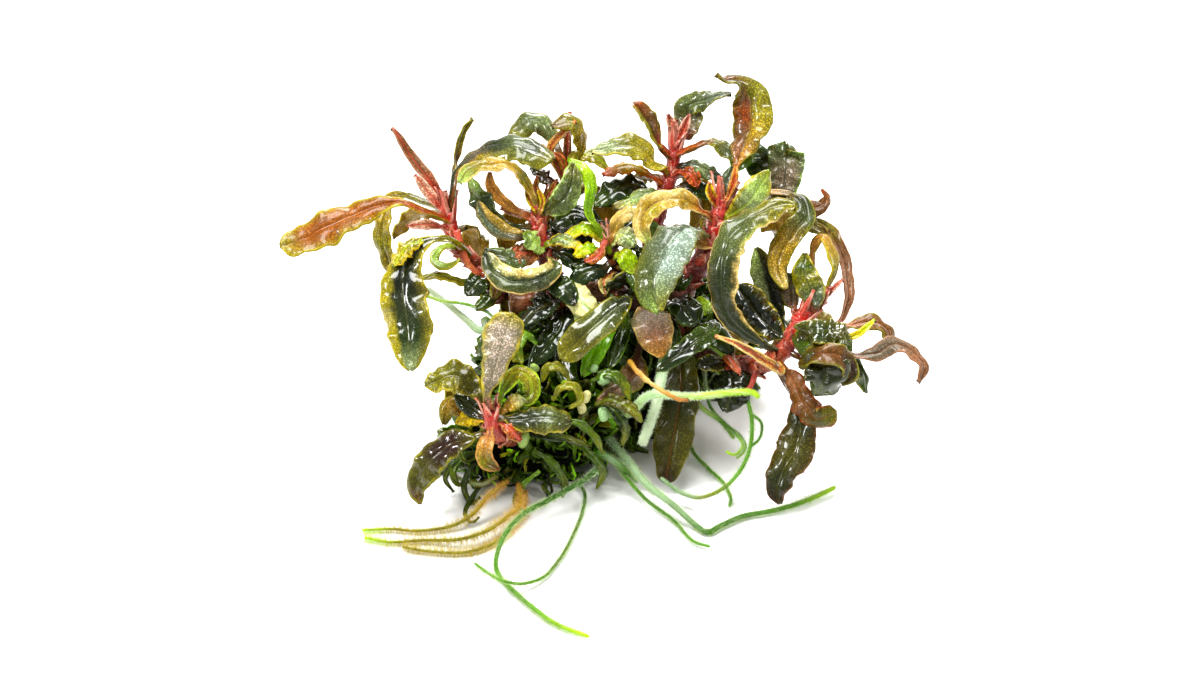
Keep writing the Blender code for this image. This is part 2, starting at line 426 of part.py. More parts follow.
def add_right_rosette(plant):
    add_shoot("shoot_right", plant, "shoot_red", 1.6, [
        (15.1, -1.6, -3.7), (20, -4, 0.5), (24.5, -4, 4), (27.5, -1.9, 6), (29.5, 1.5, 7), (31.3, 4.4, 7.4),
    ], [
        {"width": 1.6, "route": [(31, 3.6, 7.4), (31.4, 7, 6.6), (30.9, 9.4, 6.2)]},
        {"width": 2.8, "route": [(29.6, 1.6, 6.4), (28.9, 5.2, 5.4), (28.4, 9.6, 5)], "face": (0.2, 0.1, 0.9)},
        {"width": 1.9, "route": [(31, 4, 7), (31.8, 9, 4.8), (32, 13.4, 4.6), (34, 14.8, 5.4), (35.1, 11, 6.2),
                                 (34.4, 7.4, 6.2)], "face": (-0.8, 0.1, 0.4), "tip_face": (1, 0.6, 0.3),
         "steps": 8},
        {"width": 1.2, "route": [(30.8, 3.4, 6.6), (33.4, 5.6, 6.6), (36, 8, 6.4)], "face": (0, 0.7, 0.6)},
        {"width": 0.9, "route": [(29.8, 0.8, 7.4), (35.4, -0.2, 12), (38.6, 0.4, 12), (41.2, 2.6, 11.6)]},
        {"width": 2.8, "route": [(28, -2, 6), (32, -3.8, 8), (36.4, -4.2, 9.2), (39.2, -5.4, 9.4), (39.2, -8.6, 8.8)],
         "face": (0.1, 0.8, 0.5), "tip_face": (0.8, 0.1, 0.6), "steps": 7},
        {"width": 3.0, "route": [(26.5, -3, 5.4), (28.8, -6.2, 9.4), (30.6, -10, 11.8), (32.4, -12.2, 12.4),
                                 (35.4, -11.2, 13)], "face": (-0.3, -0.3, 0.9), "steps": 7},
        {"width": 1.4, "route": [(26, -3.4, 5), (27, -5, 9.6), (25.4, -4, 12.6), (21.5, -1.5, 14.2),
                                 (17.3, 0.2, 14.6)], "face": (0, 0.3, 0.9), "stalk": 0, "steps": 7},
        {"width": 2.4, "route": [(19.5, -3.6, 0), (17.4, -3.6, 4), (14.6, -4.2, 6.4)]},
        {"width": 1.6, "route": [(19.6, -3.4, 0.2), (19.4, -3, 5.4), (21, -5.4, 8.6)], "stalk": 0},
        {"width": 4.8, "route": [(22, -4.4, 2), (20.8, -6, 4.4), (19.6, -8.6, 5.2), (18.8, -11, 5)],
         "face": (-0.1, 0.2, 0.95)},
        {"width": 5.0, "route": [(25.5, -3, 3.8), (27, 2, -1), (27.5, 3.5, -6), (26.5, -1, -10)],
         "face": (0.3, 0.6, -0.6), "steps": 6},
        {"width": 4.6, "route": [(22, -3.4, 1.4), (21, 1, -4), (20.4, 1, -8), (20.2, -2.5, -11.5)],
         "face": (0, 0.6, -0.6), "steps": 7},
    ], end_radius=1.2)
    add_leaf("leaf_right_long_arch", plant, "leaf_green", 3.9, [
        (25.2, -1.4, 8.0), (23.4, -0.4, 9.2), (20.6, 1.7, 10.4), (18.8, 4.2, 11.2), (18.2, 8, 11.6), (18.5, 12, 11.6),
        (20, 15.6, 11.2), (23.1, 18.2, 10.6), (27.1, 20, 9.6), (29.4, 19.9, 9),
    ], face=(-0.6, -0.1, 0.8), tip_face=(0, 0.7, 0.7), on="shoot_right", stalk=0.12, waves=0.08)
    add_leaf("leaf_right_black", plant, "leaf_dark", 4.6, [
        (26.0, 0.6, 7.0), (24.6, 2.4, 7.2), (22.8, 4.4, 7.4), (20.5, 7.6, 7.6),
    ], face=(-0.2, 0.4, 0.9), on="shoot_right", stalk=0.1)
    add_leaf("leaf_right_folded", plant, "leaf_slate", 4.2, [
        (27.3, 1.8, 4.9), (26, 5, 4.4), (24.8, 9, 4.2), (23.6, 13.4, 4),
    ], face=(-0.5, 0.1, 0.85), on="shoot_right", stalk=0.15, fold=0.4)
    add_leaf("leaf_right_purple", plant, "leaf_slate", 4.2, [
        (32.9, 3.4, 9), (32.6, 5.2, 9.2), (31.3, 7.8, 9), (30.6, 10, 8.6), (30.8, 12.6, 8.2),
    ], face=(-0.2, 0, 0.98), on="shoot_right", stalk=0.15)
    add_leaf("leaf_right_pink", plant, "leaf_brown", 2.6, [
        (31.7, 1.8, 5.6), (35.2, 1.9, 5.6), (36.8, 4.8, 5), (37, 8, 4.4), (36.5, 11, 3.4), (35.2, 14.4, 2.4),
        (33.2, 17, 2), (30.5, 16.9, 2.2),
    ], face=(0.9, 0.2, 0.3), tip_face=(0.1, 0.8, 0.5), on="shoot_right", stalk=0.2, fold=0.5)
    add_leaf("leaf_far_right_upper", plant, "leaf_brown", 2.3, [
        (31.2, -0.4, 7.6), (34.5, 0.8, 8.4), (38, 1.9, 8.6), (41, 2.3, 8.8), (43.2, 0.9, 9.2), (43.4, -1.4, 9.6),
        (42.6, -2.9, 9.6),
    ], face=(-0.1, 0.8, 0.5), tip_face=(0.8, 0.1, 0.5), on="shoot_right", halves=1, stalk=0.3)
    add_leaf("leaf_far_right_lower", plant, "leaf_brown", 1.9, [
        (30.6, -2.0, 8.9), (35, -2.4, 11), (40.7, -2.6, 12.2), (43.8, -1.1, 12.6), (46.2, -1.6, 12.6),
        (48.4, -4, 12.8), (47.7, -6.7, 12.8),
    ], face=(0, 0.8, 0.5), tip_face=(0.8, 0.1, 0.5), on="shoot_right", halves=1, stalk=0.4)
    add_leaf("leaf_right_ball", plant, "leaf_dark", 6.8, [
        (29.9, -1.2, 10.2), (31.2, 0.3, 12), (33.2, 0.8, 13.6), (34, -1.6, 15.6), (34, -4.8, 16.2), (33.4, -7.6, 15.2),
        (32.8, -8.2, 13.6),
    ], face=(0, 0.9, 0.3), tip_face=(-0.1, -0.4, 0.9), on="shoot_right", stalk=0.15, fold=0, curl=-0.3)
    add_leaf("leaf_right_scalloped", plant, "leaf_dark", 5.4, [
        (27.2, -5.2, 5.4), (29, -8.6, 6.8), (30, -11.6, 8), (30, -14, 8.8), (29.2, -17, 9.4), (27.4, -20, 9.4),
        (26.5, -22.9, 9), (27, -24.8, 8.6),
    ], face=(-0.3, 0.1, 0.95), on="shoot_right", stalk=0.3, waves=0.12)


def add_centre(plant):
    add_shoot("rhizome_centre", plant, "rhizome", 1.7, [
        (-13.6, 5.0, 1.4), (-10.4, 5.4, 1), (-7.4, 6.2, 0), (-3.6, 7, -2), (1, 6.8, -3), (5.4, 5.4, -3.8),
        (10, 3, -4.4), (14, -0.6, -4),
    ], [
        {"width": 2.6, "route": [(-2.6, 7, -1), (-1.8, 6, 2.4), (-4.4, 1.2, 4.4)]},
        {"width": 2.6, "route": [(4, 6, -2.6), (5, 8.2, -0.2), (3.8, 8.6, 2.4), (0.8, 7.4, 3.4)],
         "face": (0.3, -0.6, 0.7)},
        {"width": 2.0, "route": [(1, 7, -2), (0.4, 9.6, 1), (-2, 11.2, 2.2), (-4.2, 10.8, 2.4)],
         "face": (0, 0.7, 0.7)},
        {"width": 3.2, "route": [(-3.4, 7.4, -0.8), (-4, 8.4, 4), (-3, 6.4, 6.4), (-1, 3.9, 7.2)],
         "face": (0.2, 0.3, 0.9)},
        {"width": 2.4, "route": [(-10.4, 5.6, 2), (-9, 6, 5), (-8, 3.4, 6)]},
        {"width": 4.6, "route": [(-10, 5.6, 0.4), (-11.5, 8, -5), (-13, 7, -9), (-14, 3.5, -12)],
         "face": (-0.3, 0.6, -0.6), "steps": 7},
    ], end_radius=1.5)
    add_leaf("leaf_centre_shiny", plant, "leaf_green", 4.3, [
        (2.9, 5.4, -0.8), (4.4, 5.8, 4.4), (2.9, 4.9, 8.4), (-1.2, 1.4, 11), (-3.5, -0.8, 11.6), (-5.7, -3.2, 11.4),
    ], face=(0.3, 0.5, 0.8), tip_face=(-0.1, 0.3, 0.95), on="rhizome_centre", stalk=0.4)
    add_leaf("leaf_centre_dark", plant, "leaf_dark", 3.2, [
        (-6.2, 4.8, 2.6), (-5.6, 2.6, 5.4), (-8, -1.2, 7.6), (-10.4, -4.4, 8),
    ], face=(-0.1, 0.4, 0.9), on="rhizome_centre", halves=1, stalk=0.25)
    add_leaf("leaf_centre_pink", plant, "leaf_brown", 5.6, [
        (7.2, 4.6, -1.8), (7.4, 4.6, 3), (7.6, 3, 6.6), (8.6, -0.2, 8), (9.4, -2.9, 7.8),
    ], face=(0, 0.5, 0.85), tip_face=(0, 0.1, 0.98), on="rhizome_centre", stalk=0.35)
    add_leaf("leaf_centre_glossy", plant, "leaf_dark", 4.4, [
        (10.2, 3.4, -2.2), (10.6, 5.4, 1), (12.3, 5, 4.6), (14.3, 2.0, 5.6),
    ], face=(0.2, 0.4, 0.9), on="rhizome_centre", stalk=0.3)
    add_leaf("leaf_centre_striped", plant, "leaf_green", 3.2, [
        (14.6, 1.4, -2.0), (17, 2.2, 2.6), (16, 0.6, 7), (12.5, -2, 10.2), (8.6, -4.9, 11),
    ], face=(0.1, 0.5, 0.85), on="rhizome_centre", halves=1, stalk=0.35)
    add_leaf("leaf_centre_long", plant, "leaf_brown", 5.4, [
        (12.4, -1.4, -2.0), (12.2, -3.6, 1.6), (12, -9.4, 4), (10.9, -15.4, 4.4), (9.8, -21.7, 3.6),
    ], face=(0.1, 0.3, 0.95), tip_face=(-0.2, 0.05, 0.97), on="rhizome_centre", stalk=0.15)
    add_leaf("leaf_centre_low", plant, "leaf_brown", 3.7, [
        (5.6, 1.6, -1.8), (5.6, -3, 3.4), (4.8, -6, 6.8), (2.5, -7.9, 8.6), (-0.4, -9.6, 9.2),
    ], face=(0, 0.4, 0.9), on="rhizome_centre", stalk=0.5)
    add_tube("stalk_dead", plant, "leaf_ochre", 0.45, [
        (4.5, -3.7, 6.4), (4.7, -3.9, 10), (5.8, -5.3, 12.2), (8.4, -7.4, 12.9), (11.4, -9.1, 13.2), (13.4, -9.4, 13.2),
    ], steps=1)


def add_lower_left_rosette(plant):
    add_shoot("shoot_lower_left", plant, "shoot_red", 1.3, [
        (-13.1, -14.9, 8.2), (-14.6, -14.8, 11.2), (-15.9, -13.6, 13.4), (-16.4, -11.2, 14.8),
    ], [
        {"width": 2.2, "route": [(-16, -12.8, 14), (-18.6, -11, 12.6), (-21.6, -8.8, 12)]},
        {"width": 2.8, "route": [(-15.9, -13, 13.4), (-19.4, -12.2, 11.6), (-22.4, -14, 11)]},
        {"width": 2.4, "route": [(-15.8, -11.6, 13.8), (-14.6, -6.6, 13.6), (-12, -4.8, 13), (-10.2, -7, 12.6),
                                 (-12, -9, 12.4)], "face": (0, 0.5, 0.8), "steps": 7},
        {"width": 2.2, "route": [(-16, -13.2, 14), (-17, -15.8, 17), (-17.2, -18.4, 16.8), (-15.3, -19.7, 16)],
         "face": (-0.3, 0.1, 0.9)},
        {"width": 4.2, "route": [(-15.6, -12.8, 13), (-18.6, -8.4, 9.6), (-21, -6.6, 6), (-23, -9.4, 3)],
         "face": (-0.4, 0.7, -0.2), "steps": 7},
    ], end_radius=1.1)
    add_leaf("leaf_lower_left_upright", plant, "leaf_olive", 5.1, [
        (-16.8, -10, 15.6), (-17, -8.2, 16.4), (-15.8, -4.6, 17), (-14.6, -0.4, 17), (-13.2, 3.4, 16),
    ], face=(0.2, 0.1, 0.97), on="shoot_lower_left", stalk=0.12)
    add_leaf("leaf_lower_left_dark", plant, "leaf_dark", 4.4, [
        (-17.8, -10.4, 14.6), (-19, -7.6, 14.4), (-21.8, -5.8, 14.6), (-26.1, -7.1, 14.8),
    ], face=(-0.2, 0.6, 0.8), on="shoot_lower_left", stalk=0.2)
    add_leaf("leaf_lower_left_long", plant, "leaf_green", 4.1, [
        (-16.8, -14.9, 13.2), (-19.4, -15.2, 14), (-22, -15.8, 13.6), (-24.4, -17.6, 12.8), (-26.4, -20, 11.8),
        (-27.6, -22.6, 10.8), (-27, -24.8, 9.8),
    ], face=(-0.1, 0.5, 0.85), tip_face=(-0.3, 0.2, 0.95), on="shoot_lower_left", stalk=0.2)
    add_leaf("leaf_lower_left_right", plant, "leaf_slate", 3.9, [
        (-14.6, -12, 14.6), (-12.4, -12.4, 14.6), (-9.4, -12, 15), (-6.8, -12.1, 15), (-4.5, -12.8, 14.4),
    ], face=(0, 0.5, 0.85), on="shoot_lower_left", stalk=0.15)


def add_roots(plant):
    add_tube("root_left_upper", plant, "root", 0.45, [
        on_floor(-35.7, -28.9), on_floor(-31.4, -28.7), on_floor(-27.6, -29.0), on_floor(-22.7, -28.4, 0.9),
        on_floor(-20.1, -27.2, 1.6), on_floor(-18.2, -25.6, 2.6), on_floor(-16.8, -23.8, 3.6), (-13.7, -21.4, 6.6),
    ], steps=1)
    add_tube("root_left_middle", plant, "root", 0.45, [
        on_floor(-35.3, -30), on_floor(-31.4, -30.7), on_floor(-26.3, -30.4, 0.6), on_floor(-21.3, -30.3, 1.4),
        on_floor(-17, -29, 2), on_floor(-13.8, -26.8, 2.2), on_floor(-11.9, -24.8, 2.6), (-12.3, -21.8, 6.35),
    ], steps=1)
    add_tube("root_left_lower", plant, "root", 0.45, [
        on_floor(-29.6, -31.4), on_floor(-26.3, -32), on_floor(-22.5, -32.3), on_floor(-19.5, -32.1),
        on_floor(-16, -30.9), on_floor(-13.4, -28.8), on_floor(-11.6, -26.4), (-11.2, -22.9, 4.95),
    ], steps=1)
    add_tube("root_front_long", plant, "root", 0.5, [
        (-0.1, -19.3, 2.8), (-1.8, -21, 6), (-4.5, -22.6, 7.8), (-7.7, -24.4, 9.4), on_floor(-11.4, -26.4, 3.6),
        on_floor(-14.1, -29.3, 3.6), on_floor(-15.5, -32.8, 2.2), on_floor(-15.3, -35.4), on_floor(-13.2, -37.8),
        on_floor(-10.2, -40.4), on_floor(-6.5, -43), on_floor(-1.5, -44.9),
    ], steps=1)
    add_tube("root_front_loop", plant, "root", 0.42, [
        (-3.6, -21.4, 3.1), on_floor(-2.3, -23.4, 1.2), on_floor(-2.7, -26.4), on_floor(-4.4, -30.4), on_floor(-5.9, -33),
        on_floor(-8.3, -35.8), on_floor(-11.4, -36.9, 1.4), on_floor(-14.6, -36.5, 2.4), on_floor(-17, -35.2, 1),
        on_floor(-18.9, -33.8),
    ], steps=1)
    add_tube("root_right_thick", plant, "root", 0.65, [
        (1.4, -15.2, 2.0), (4.4, -18.8, 5.4), (7.2, -22.2, 7.6), on_floor(10.8, -25, 2.4), on_floor(14.4, -28.2, 0.7),
        on_floor(16.2, -29.2, 0.7), on_floor(18, -28.3, 0.7), on_floor(21.5, -26.8, 0.7), on_floor(26.3, -25.9, 0.7),
        on_floor(31.1, -24.4, 0.7), on_floor(35.4, -22.4, 0.7),
    ], end_radius=0.5, steps=1)
    add_tube("root_right_second", plant, "root", 0.45, [
        (1.4, -17.4, 2.3), (3.8, -20.8, 4.8), on_floor(7, -24.4, 1.2), on_floor(11, -27.4), on_floor(13.8, -30.4),
        on_floor(16.6, -31.4),
    ])
    loop = add_tube("root_right_loop", plant, "root", 0.5, [
        (22.0, -6.4, 1.8), (22.2, -9.4, 4), (22.8, -12.6, 5.2), (22.5, -16.6, 6.2), (21, -20, 6.8),
        (18.5, -22.6, 7.6), (15, -24, 7.6), (12, -23.2, 6.8), (9, -21, 6.2),
    ], steps=1)
    loop = make_mesh(loop)
    side = new_collection("root_right_loop_growth")
    ring = add_tube("root_right_loop_side", side, "root", 0.35, [
        (22.6, -11.4, 4.9), (24.2, -12.8, 5.6), (24, -15, 6), (22.6, -16.4, 6.1),
    ], steps=2)
    make_mesh(ring)
    grow_together(loop, side)
    add_tube("root_right_thin", plant, "root", 0.42, [
        on_floor(12.5, -11.3, 3.4), on_floor(13, -14, 2.2), on_floor(14, -17.2, 1), on_floor(16.2, -19.6),
        on_floor(18.5, -21.8), on_floor(19.6, -24), on_floor(19.4, -25.4),
    ], steps=1)
    add_tube("root_right_hook", plant, "root", 0.42, [
        (15.5, -4.2, -4.4), (16.5, -10.3, -1), (20.3, -14.4, 2), (21.4, -16.2, 3), (20.2, -17.6, 3.6), (18.8, -17, 3.4),
    ], steps=1)
    add_tube("root_white_upright", plant, "root_white", 0.9, [
        (9.9, 1.1, -2.5), (9.8, -2.6, 2.4), (9.2, -5.8, 6.2), (8.3, -10.6, 7), (6.2, -16.3, 6),
    ], steps=1)
    add_tube("root_white_level", plant, "root_white", 0.8, [
        (0.3, -11.2, 4.6), (4.4, -11.2, 7.2), (7.6, -8.6, 10.8), (13.4, -8.9, 11), (19.2, -8.3, 11.2),
        (22.7, -8.2, 11.4), (23.9, -9.1, 11.4),
    ], end_radius=0.5, steps=1)
    pale = add_tube("root_pale_left", plant, "root", 0.55, [
        (-13.9, 2.9, 1.6), (-17.7, 1, 2), (-20, 2.6, 2.2), (-22.8, 5, 2.6), (-26, 7.4, 3.4),
    ], end_radius=0.4)
    pale = make_mesh(pale)
    fork = new_collection("root_pale_left_growth")
    branch = add_tube("root_pale_left_branch", fork, "root", 0.4, [
        (-15, 2, 2), (-17.2, 4, 2.6), (-20.6, 5.1, 3.4), (-24.2, 5.6, 4.2), (-27.2, 6.8, 4.6),
    ], steps=2)
    make_mesh(branch)
    grow_together(pale, fork)


def add_undergrowth(plant):
    """The dense low leaves that the shoots stand in, as one lumpy solid cut flat where it rests."""
    lumps = [
        ((-9.2, 5.2, 4.0), (11.0, 10.5, 9.0)),
        ((-16.7, 2.7, 3.0), (5.5, 6.5, 6.5)),
        ((-8.2, 13.2, 8.0), (9.0, 9.0, 8.5)),
        ((3.8, 16.2, 4.0), (9.0, 9.5, 9.0)),
        ((9.8, 27.2, 5.0), (13.0, 10.5, 10.0)),
        ((-8.6, 24.2, 4.0), (9.4, 9.5, 9.0)),
    ]
    helpers = new_collection("undergrowth_growth")
    body = None
    for number, (centre, radii) in enumerate(lumps):
        lump = bmesh.new()
        bmesh.ops.create_uvsphere(lump, u_segments=LUMP_SIDES, v_segments=LUMP_RINGS, radius=1)
        for corner in lump.verts:
            wave = math.sin(LUMP_WAVES[0] * corner.co.x + 3 * number) * math.cos(LUMP_WAVES[1] * corner.co.y + number)
            swell = 1 + LUMP_SWELL * wave
            corner.co = Vector([c * r * swell for c, r in zip(corner.co, radii)])
            corner.co = (corner.co + Vector(centre)) * MM
        mesh = bpy.data.meshes.new(f"undergrowth_lump_{number}")
        lump.to_mesh(mesh)
        lump.free()
        if body is None:
            body = add_object("undergrowth", mesh, plant, "undergrowth")
        else:
            add_object(mesh.name, mesh, helpers, "undergrowth")
    add_leaf("undergrowth_leaf_1", helpers, "undergrowth", 3.8, [
        (-1.5, -11.5, 3), (-2.4, -8, 7.4), (-3.6, -5.6, 8.4), (-4.5, -3.4, 8.4),
    ], face=(0, 0.2, 0.95), steps=LEAFLET_STEPS, halves=1, fold=0)
    add_leaf("undergrowth_leaf_2", helpers, "undergrowth", 3.6, [
        (-5.4, -10, 3), (-6.6, -8, 7.8), (-10.4, -7.2, 8.8),
    ], face=(0, 0.4, 0.9), steps=LEAFLET_STEPS, halves=1, fold=0)
    grow_together(body, helpers)
    below = bmesh.new()
    bmesh.ops.create_cube(below, size=1)
    bmesh.ops.scale(below, vec=Vector(FLOOR_CUT) * MM, verts=below.verts)
    bmesh.ops.translate(below, vec=(0, 0, -FLOOR_CUT[2] / 2 * MM), verts=below.verts)
    mesh = bpy.data.meshes.new("undergrowth_floor_cut")
    below.to_mesh(mesh)
    below.free()
    cutter = add_object("undergrowth_floor_cut", mesh, new_collection("cutters"), "undergrowth")
    hide_helper(cutter)
    cut = body.modifiers.new("flat below", "BOOLEAN")
    cut.operation = "DIFFERENCE"
    cut.solver = "EXACT"
    cut.object = cutter


def main():
    for old in list(bpy.data.objects):
        bpy.data.objects.remove(old, do_unlink=True)
    plant = new_collection("kedagang_bucephalandra")
    add_left_rosette(plant)
    add_middle_rosette(plant)
    add_back_rosette(plant)
    add_top_rosette(plant)
    add_upper_right_rosette(plant)
    add_right_rosette(plant)
    add_centre(plant)
    add_lower_left_rosette(plant)
    add_roots(plant)
    add_undergrowth(plant)


main()
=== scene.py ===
"""A clump of kedagang bucephalandra as picked: leaves, rhizomes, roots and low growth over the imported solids.

Routes are drawn on a tilted board, the way the plant is seen from in front and above: across is to the
right, up is up the board and near is towards the viewer, all in millimetres from the board's centre.
"""

import json
import math
import random

import bpy
import numpy as np
from bpy.props import FloatProperty, FloatVectorProperty, IntProperty, PointerProperty
from mathutils import Matrix, Vector, noise


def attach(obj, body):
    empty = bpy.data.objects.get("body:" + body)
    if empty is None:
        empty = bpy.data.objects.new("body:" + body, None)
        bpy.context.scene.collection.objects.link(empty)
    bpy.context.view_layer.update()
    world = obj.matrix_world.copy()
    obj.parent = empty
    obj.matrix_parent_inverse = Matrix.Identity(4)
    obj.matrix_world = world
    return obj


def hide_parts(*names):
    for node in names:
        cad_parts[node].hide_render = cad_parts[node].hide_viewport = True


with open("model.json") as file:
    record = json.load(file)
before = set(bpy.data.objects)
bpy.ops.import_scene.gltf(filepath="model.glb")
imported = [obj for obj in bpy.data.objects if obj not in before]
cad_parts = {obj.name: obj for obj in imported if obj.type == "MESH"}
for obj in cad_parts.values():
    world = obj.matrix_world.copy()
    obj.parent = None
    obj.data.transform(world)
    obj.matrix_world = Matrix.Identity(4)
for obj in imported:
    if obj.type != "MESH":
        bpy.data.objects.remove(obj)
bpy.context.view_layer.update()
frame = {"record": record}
SLOTS = {entry["node"]: entry["material_slot"] for entry in frame["record"]["subparts"]}

bl_info = {
    "name": "Kedagang bucephalandra clump",
    "version": (1, 0, 0),
    "blender": (4, 5, 0),
    "location": "3D View > Sidebar > Plant",
    "description": "Builds the leaves, rhizomes, roots and low growth of a bare aquarium plant",
    "category": "Object",
}

MM = 0.001
BODY = "root"

# The tilted board: how far it leans back, how far the eye is from it, its centre in mm, and its axes.
VIEW_TILT = math.radians(35.0)
VIEW_DISTANCE = 500.0
BOARD_CENTRE = Vector((-0.2, 11.5, 17.5))
ACROSS = Vector((1.0, 0.0, 0.0))
UP = Vector((0.0, math.sin(VIEW_TILT), math.cos(VIEW_TILT)))
NEAR = Vector((0.0, -math.cos(VIEW_TILT), math.sin(VIEW_TILT)))

# The least height above the floor, in mm, of the low growth, of a root and of its fuzz, and the height of
# a root's middle where its route gives none.
FLOOR_GAP = 0.05
CORE_FLOOR = 0.03
HAIR_FLOOR = 0.04
LYING_HEIGHT = 0.6

# A leaf's stalk starts at this share of a shoot's radius from the middle of the shoot.
SEAT_SHARE = 0.5

# The unevenness of a leaf's edge: its share of the width, its waves per mm, and two numbers that set the
# two edges and the three layers apart.
RAGGED_EDGE = ((0.11, 0.32, 7, 0), (0.06, 1.0, 11, 3), (0.03, 2.3, 13, 5))

# The groove along a leaf's middle: its depth in mm and its width as a share of half the leaf.
GROOVE_DEPTH = 0.16
GROOVE_WIDTH = 0.16

# Where the rim's colour starts, as a share of half the leaf, and the distance from the rim, in rim
# widths, that is written where a piece has none.
MARGIN_FROM = 0.4
FAR_FROM_EDGE = 2.0

# How much thinner a blade is than its stalk.
BLADE_THINNING = 0.72

# The end of a stem is rounded past this share of its length. LEAST_END is the square of the least share
# of its radius that is left there.
ROUND_FROM = 0.985
LEAST_END = 0.03

# Veins of a leaf: how far they slant, how much they waver and how many there are in a centimetre.
VEIN_SLANT = -1.3
VEIN_WAVER = 0.12
VEINS_PER_CM = 4.6

# The turn in radians from one sheath of a shoot to the next, and the mm of a shoot from ring to ring.
SHEATH_TURN = 2.4
RING_SPACING = 2.2

# A root's core as a share of its radius: a pale root, a root thicker than THICK_FROM mm and a thin one.
PALE_CORE = 0.95
THICK_CORE = 0.72
THIN_CORE = 0.6
THICK_FROM = 0.6

# How dense the fuzz of a golden and of a green root is, beside that of a pale one.
GOLDEN_FUZZ = 0.65
GREEN_FUZZ = 0.5

# The radii in mm that the fuzz of a golden root is reckoned from, at its tip and at its foot.
GOLDEN_RADII = (0.2, 0.5)

# A hair: its radius in mm, how much of the root's colour its foot takes, how far it leans and the
# directions in radians of the three corners of its foot.
HAIR_RADIUS = 0.03
FOOT_SHARE = 0.12
HAIR_LEAN = 0.9
THREE_WAYS = (0.0, 2.094, 4.189)

# How much more vivid and how much darker the colours are than they are seen.
VIVID = 1.42
DARKER = 0.82


def seen(red, green, blue):
    """A colour as it is seen, from 0 to 255, made more vivid and darker and turned into linear light."""
    middle = (red + green + blue) / 3
    vivid = [min(max(middle + (c - middle) * VIVID, 1), 250) for c in (red, green, blue)]
    return tuple(DARKER * (c / 255 / 12.92 if c < 11 else ((c / 255 + 0.055) / 1.055) ** 2.4) for c in vivid)


PALETTE = {
    "black green": seen(18, 25, 12),
    "dark green": seen(40, 54, 18),
    "moss": seen(70, 88, 24),
    "leaf green": seen(98, 126, 30),
    "bright green": seen(132, 176, 44),
    "lime": seen(176, 204, 60),
    "pale green": seen(176, 196, 128),
    "mint": seen(196, 224, 178),
    "cream": seen(226, 220, 172),
    "dark slate": seen(52, 58, 36),
    "slate": seen(98, 106, 70),
    "blue slate": seen(122, 130, 118),
    "pale slate": seen(160, 170, 134),
    # A pale bluish white that stands for the softboxes' reflection on a wet leaf: a painted sheen.
    "sheen": seen(186, 200, 196),
    # mauve is partly the leaves' own greyish purple and partly a painted sheen on their upper sides.
    "mauve": seen(128, 116, 104),
    "dark olive": seen(76, 74, 26),
    "olive": seen(128, 124, 42),
    "yellow olive": seen(168, 156, 58),
    "yellow": seen(214, 190, 50),
    "ochre": seen(170, 144, 64),
    "beige": seen(222, 198, 142),
    "tan": seen(192, 150, 92),
    "orange": seen(178, 98, 28),
    "rust": seen(142, 80, 38),
    "dark brown": seen(50, 32, 24),
    "brown": seen(112, 82, 50),
    # A pale greyish pink that stands for the room's reflection on a wet upper side: a painted reflection.
    "pale mauve": seen(196, 182, 178),
    "pink brown": seen(150, 114, 90),
    "pink": seen(206, 116, 102),
    "pale pink": seen(232, 190, 176),
    "red": seen(162, 54, 46),
    "wine": seen(100, 34, 32),
    "dark wine": seen(58, 22, 24),
    "amber": seen(142, 90, 26),
    "root fuzz": seen(184, 170, 96),
    "root edge": seen(190, 206, 158),
    "copper": seen(140, 94, 40),
    "root green": seen(92, 134, 40),
    "root dark": seen(58, 92, 28),
    "root grey": seen(160, 180, 150),
    "root pale": seen(214, 226, 198),
    "root white": seen(232, 240, 222),
}

# The colours that the panel holds, each with the name of its setting.
CHOSEN_COLOURS = {
    "red": "shoot",
    "yellow olive": "rim",
    "bright green": "young_leaf",
    "moss": "moss",
    "root green": "root",
    "root fuzz": "fuzz",
    "root white": "pale_root",
}


# Routes


def board_point(across, up, near):
    """A place on the tilted board as millimetres in the plant's own frame."""
    shrink = (VIEW_DISTANCE - near) / VIEW_DISTANCE
    return BOARD_CENTRE + (ACROSS * across + UP * up) * shrink + NEAR * near


def board_direction(across, up, near):
    """A direction on the tilted board in the plant's own frame."""
    return (ACROSS * across + UP * up + NEAR * near).normalized()


def as_direction(facing):
    """A direction that may be given on the board or as a vector."""
    return facing.normalized() if isinstance(facing, Vector) else board_direction(*facing)


def on_floor(across, up, height=LYING_HEIGHT):
    """The board place that is seen at (across, up) and stands this high above the floor."""
    rise = height + FLOOR_GAP - BOARD_CENTRE.z - up * UP.z
    return (across, up, rise / (NEAR.z - up * UP.z / VIEW_DISTANCE))


def points(text):
    """The board places in a text such as "1 2 3, 4 5, 6 7 ^0.9": across, up and near for each.

    A place without near lies on the floor, or as high above it as the number after the ^ says.
    """
    places = []
    for place in text.split(", "):
        numbers = place.replace("^", "").split()
        spot = [float(number) for number in numbers]
        places.append(on_floor(*spot) if len(spot) == 2 or "^" in place else tuple(spot))
    return places


def curve_through(given, steps):
    """Points along a smooth curve through the given ones, with this many steps between two of them."""
    given = [given[0] * 2 - given[1]] + given + [given[-1] * 2 - given[-2]]
    smooth = []
    for before, start, end, after in zip(given, given[1:], given[2:], given[3:]):
        for step in range(steps):
            t = step / steps
            smooth.append(0.5 * (
                2 * start + (end - before) * t
                + (2 * before - 5 * start + 4 * end - after) * t ** 2
                + (3 * start - before - 3 * end + after) * t ** 3
            ))
    smooth.append(given[-2])
    return smooth


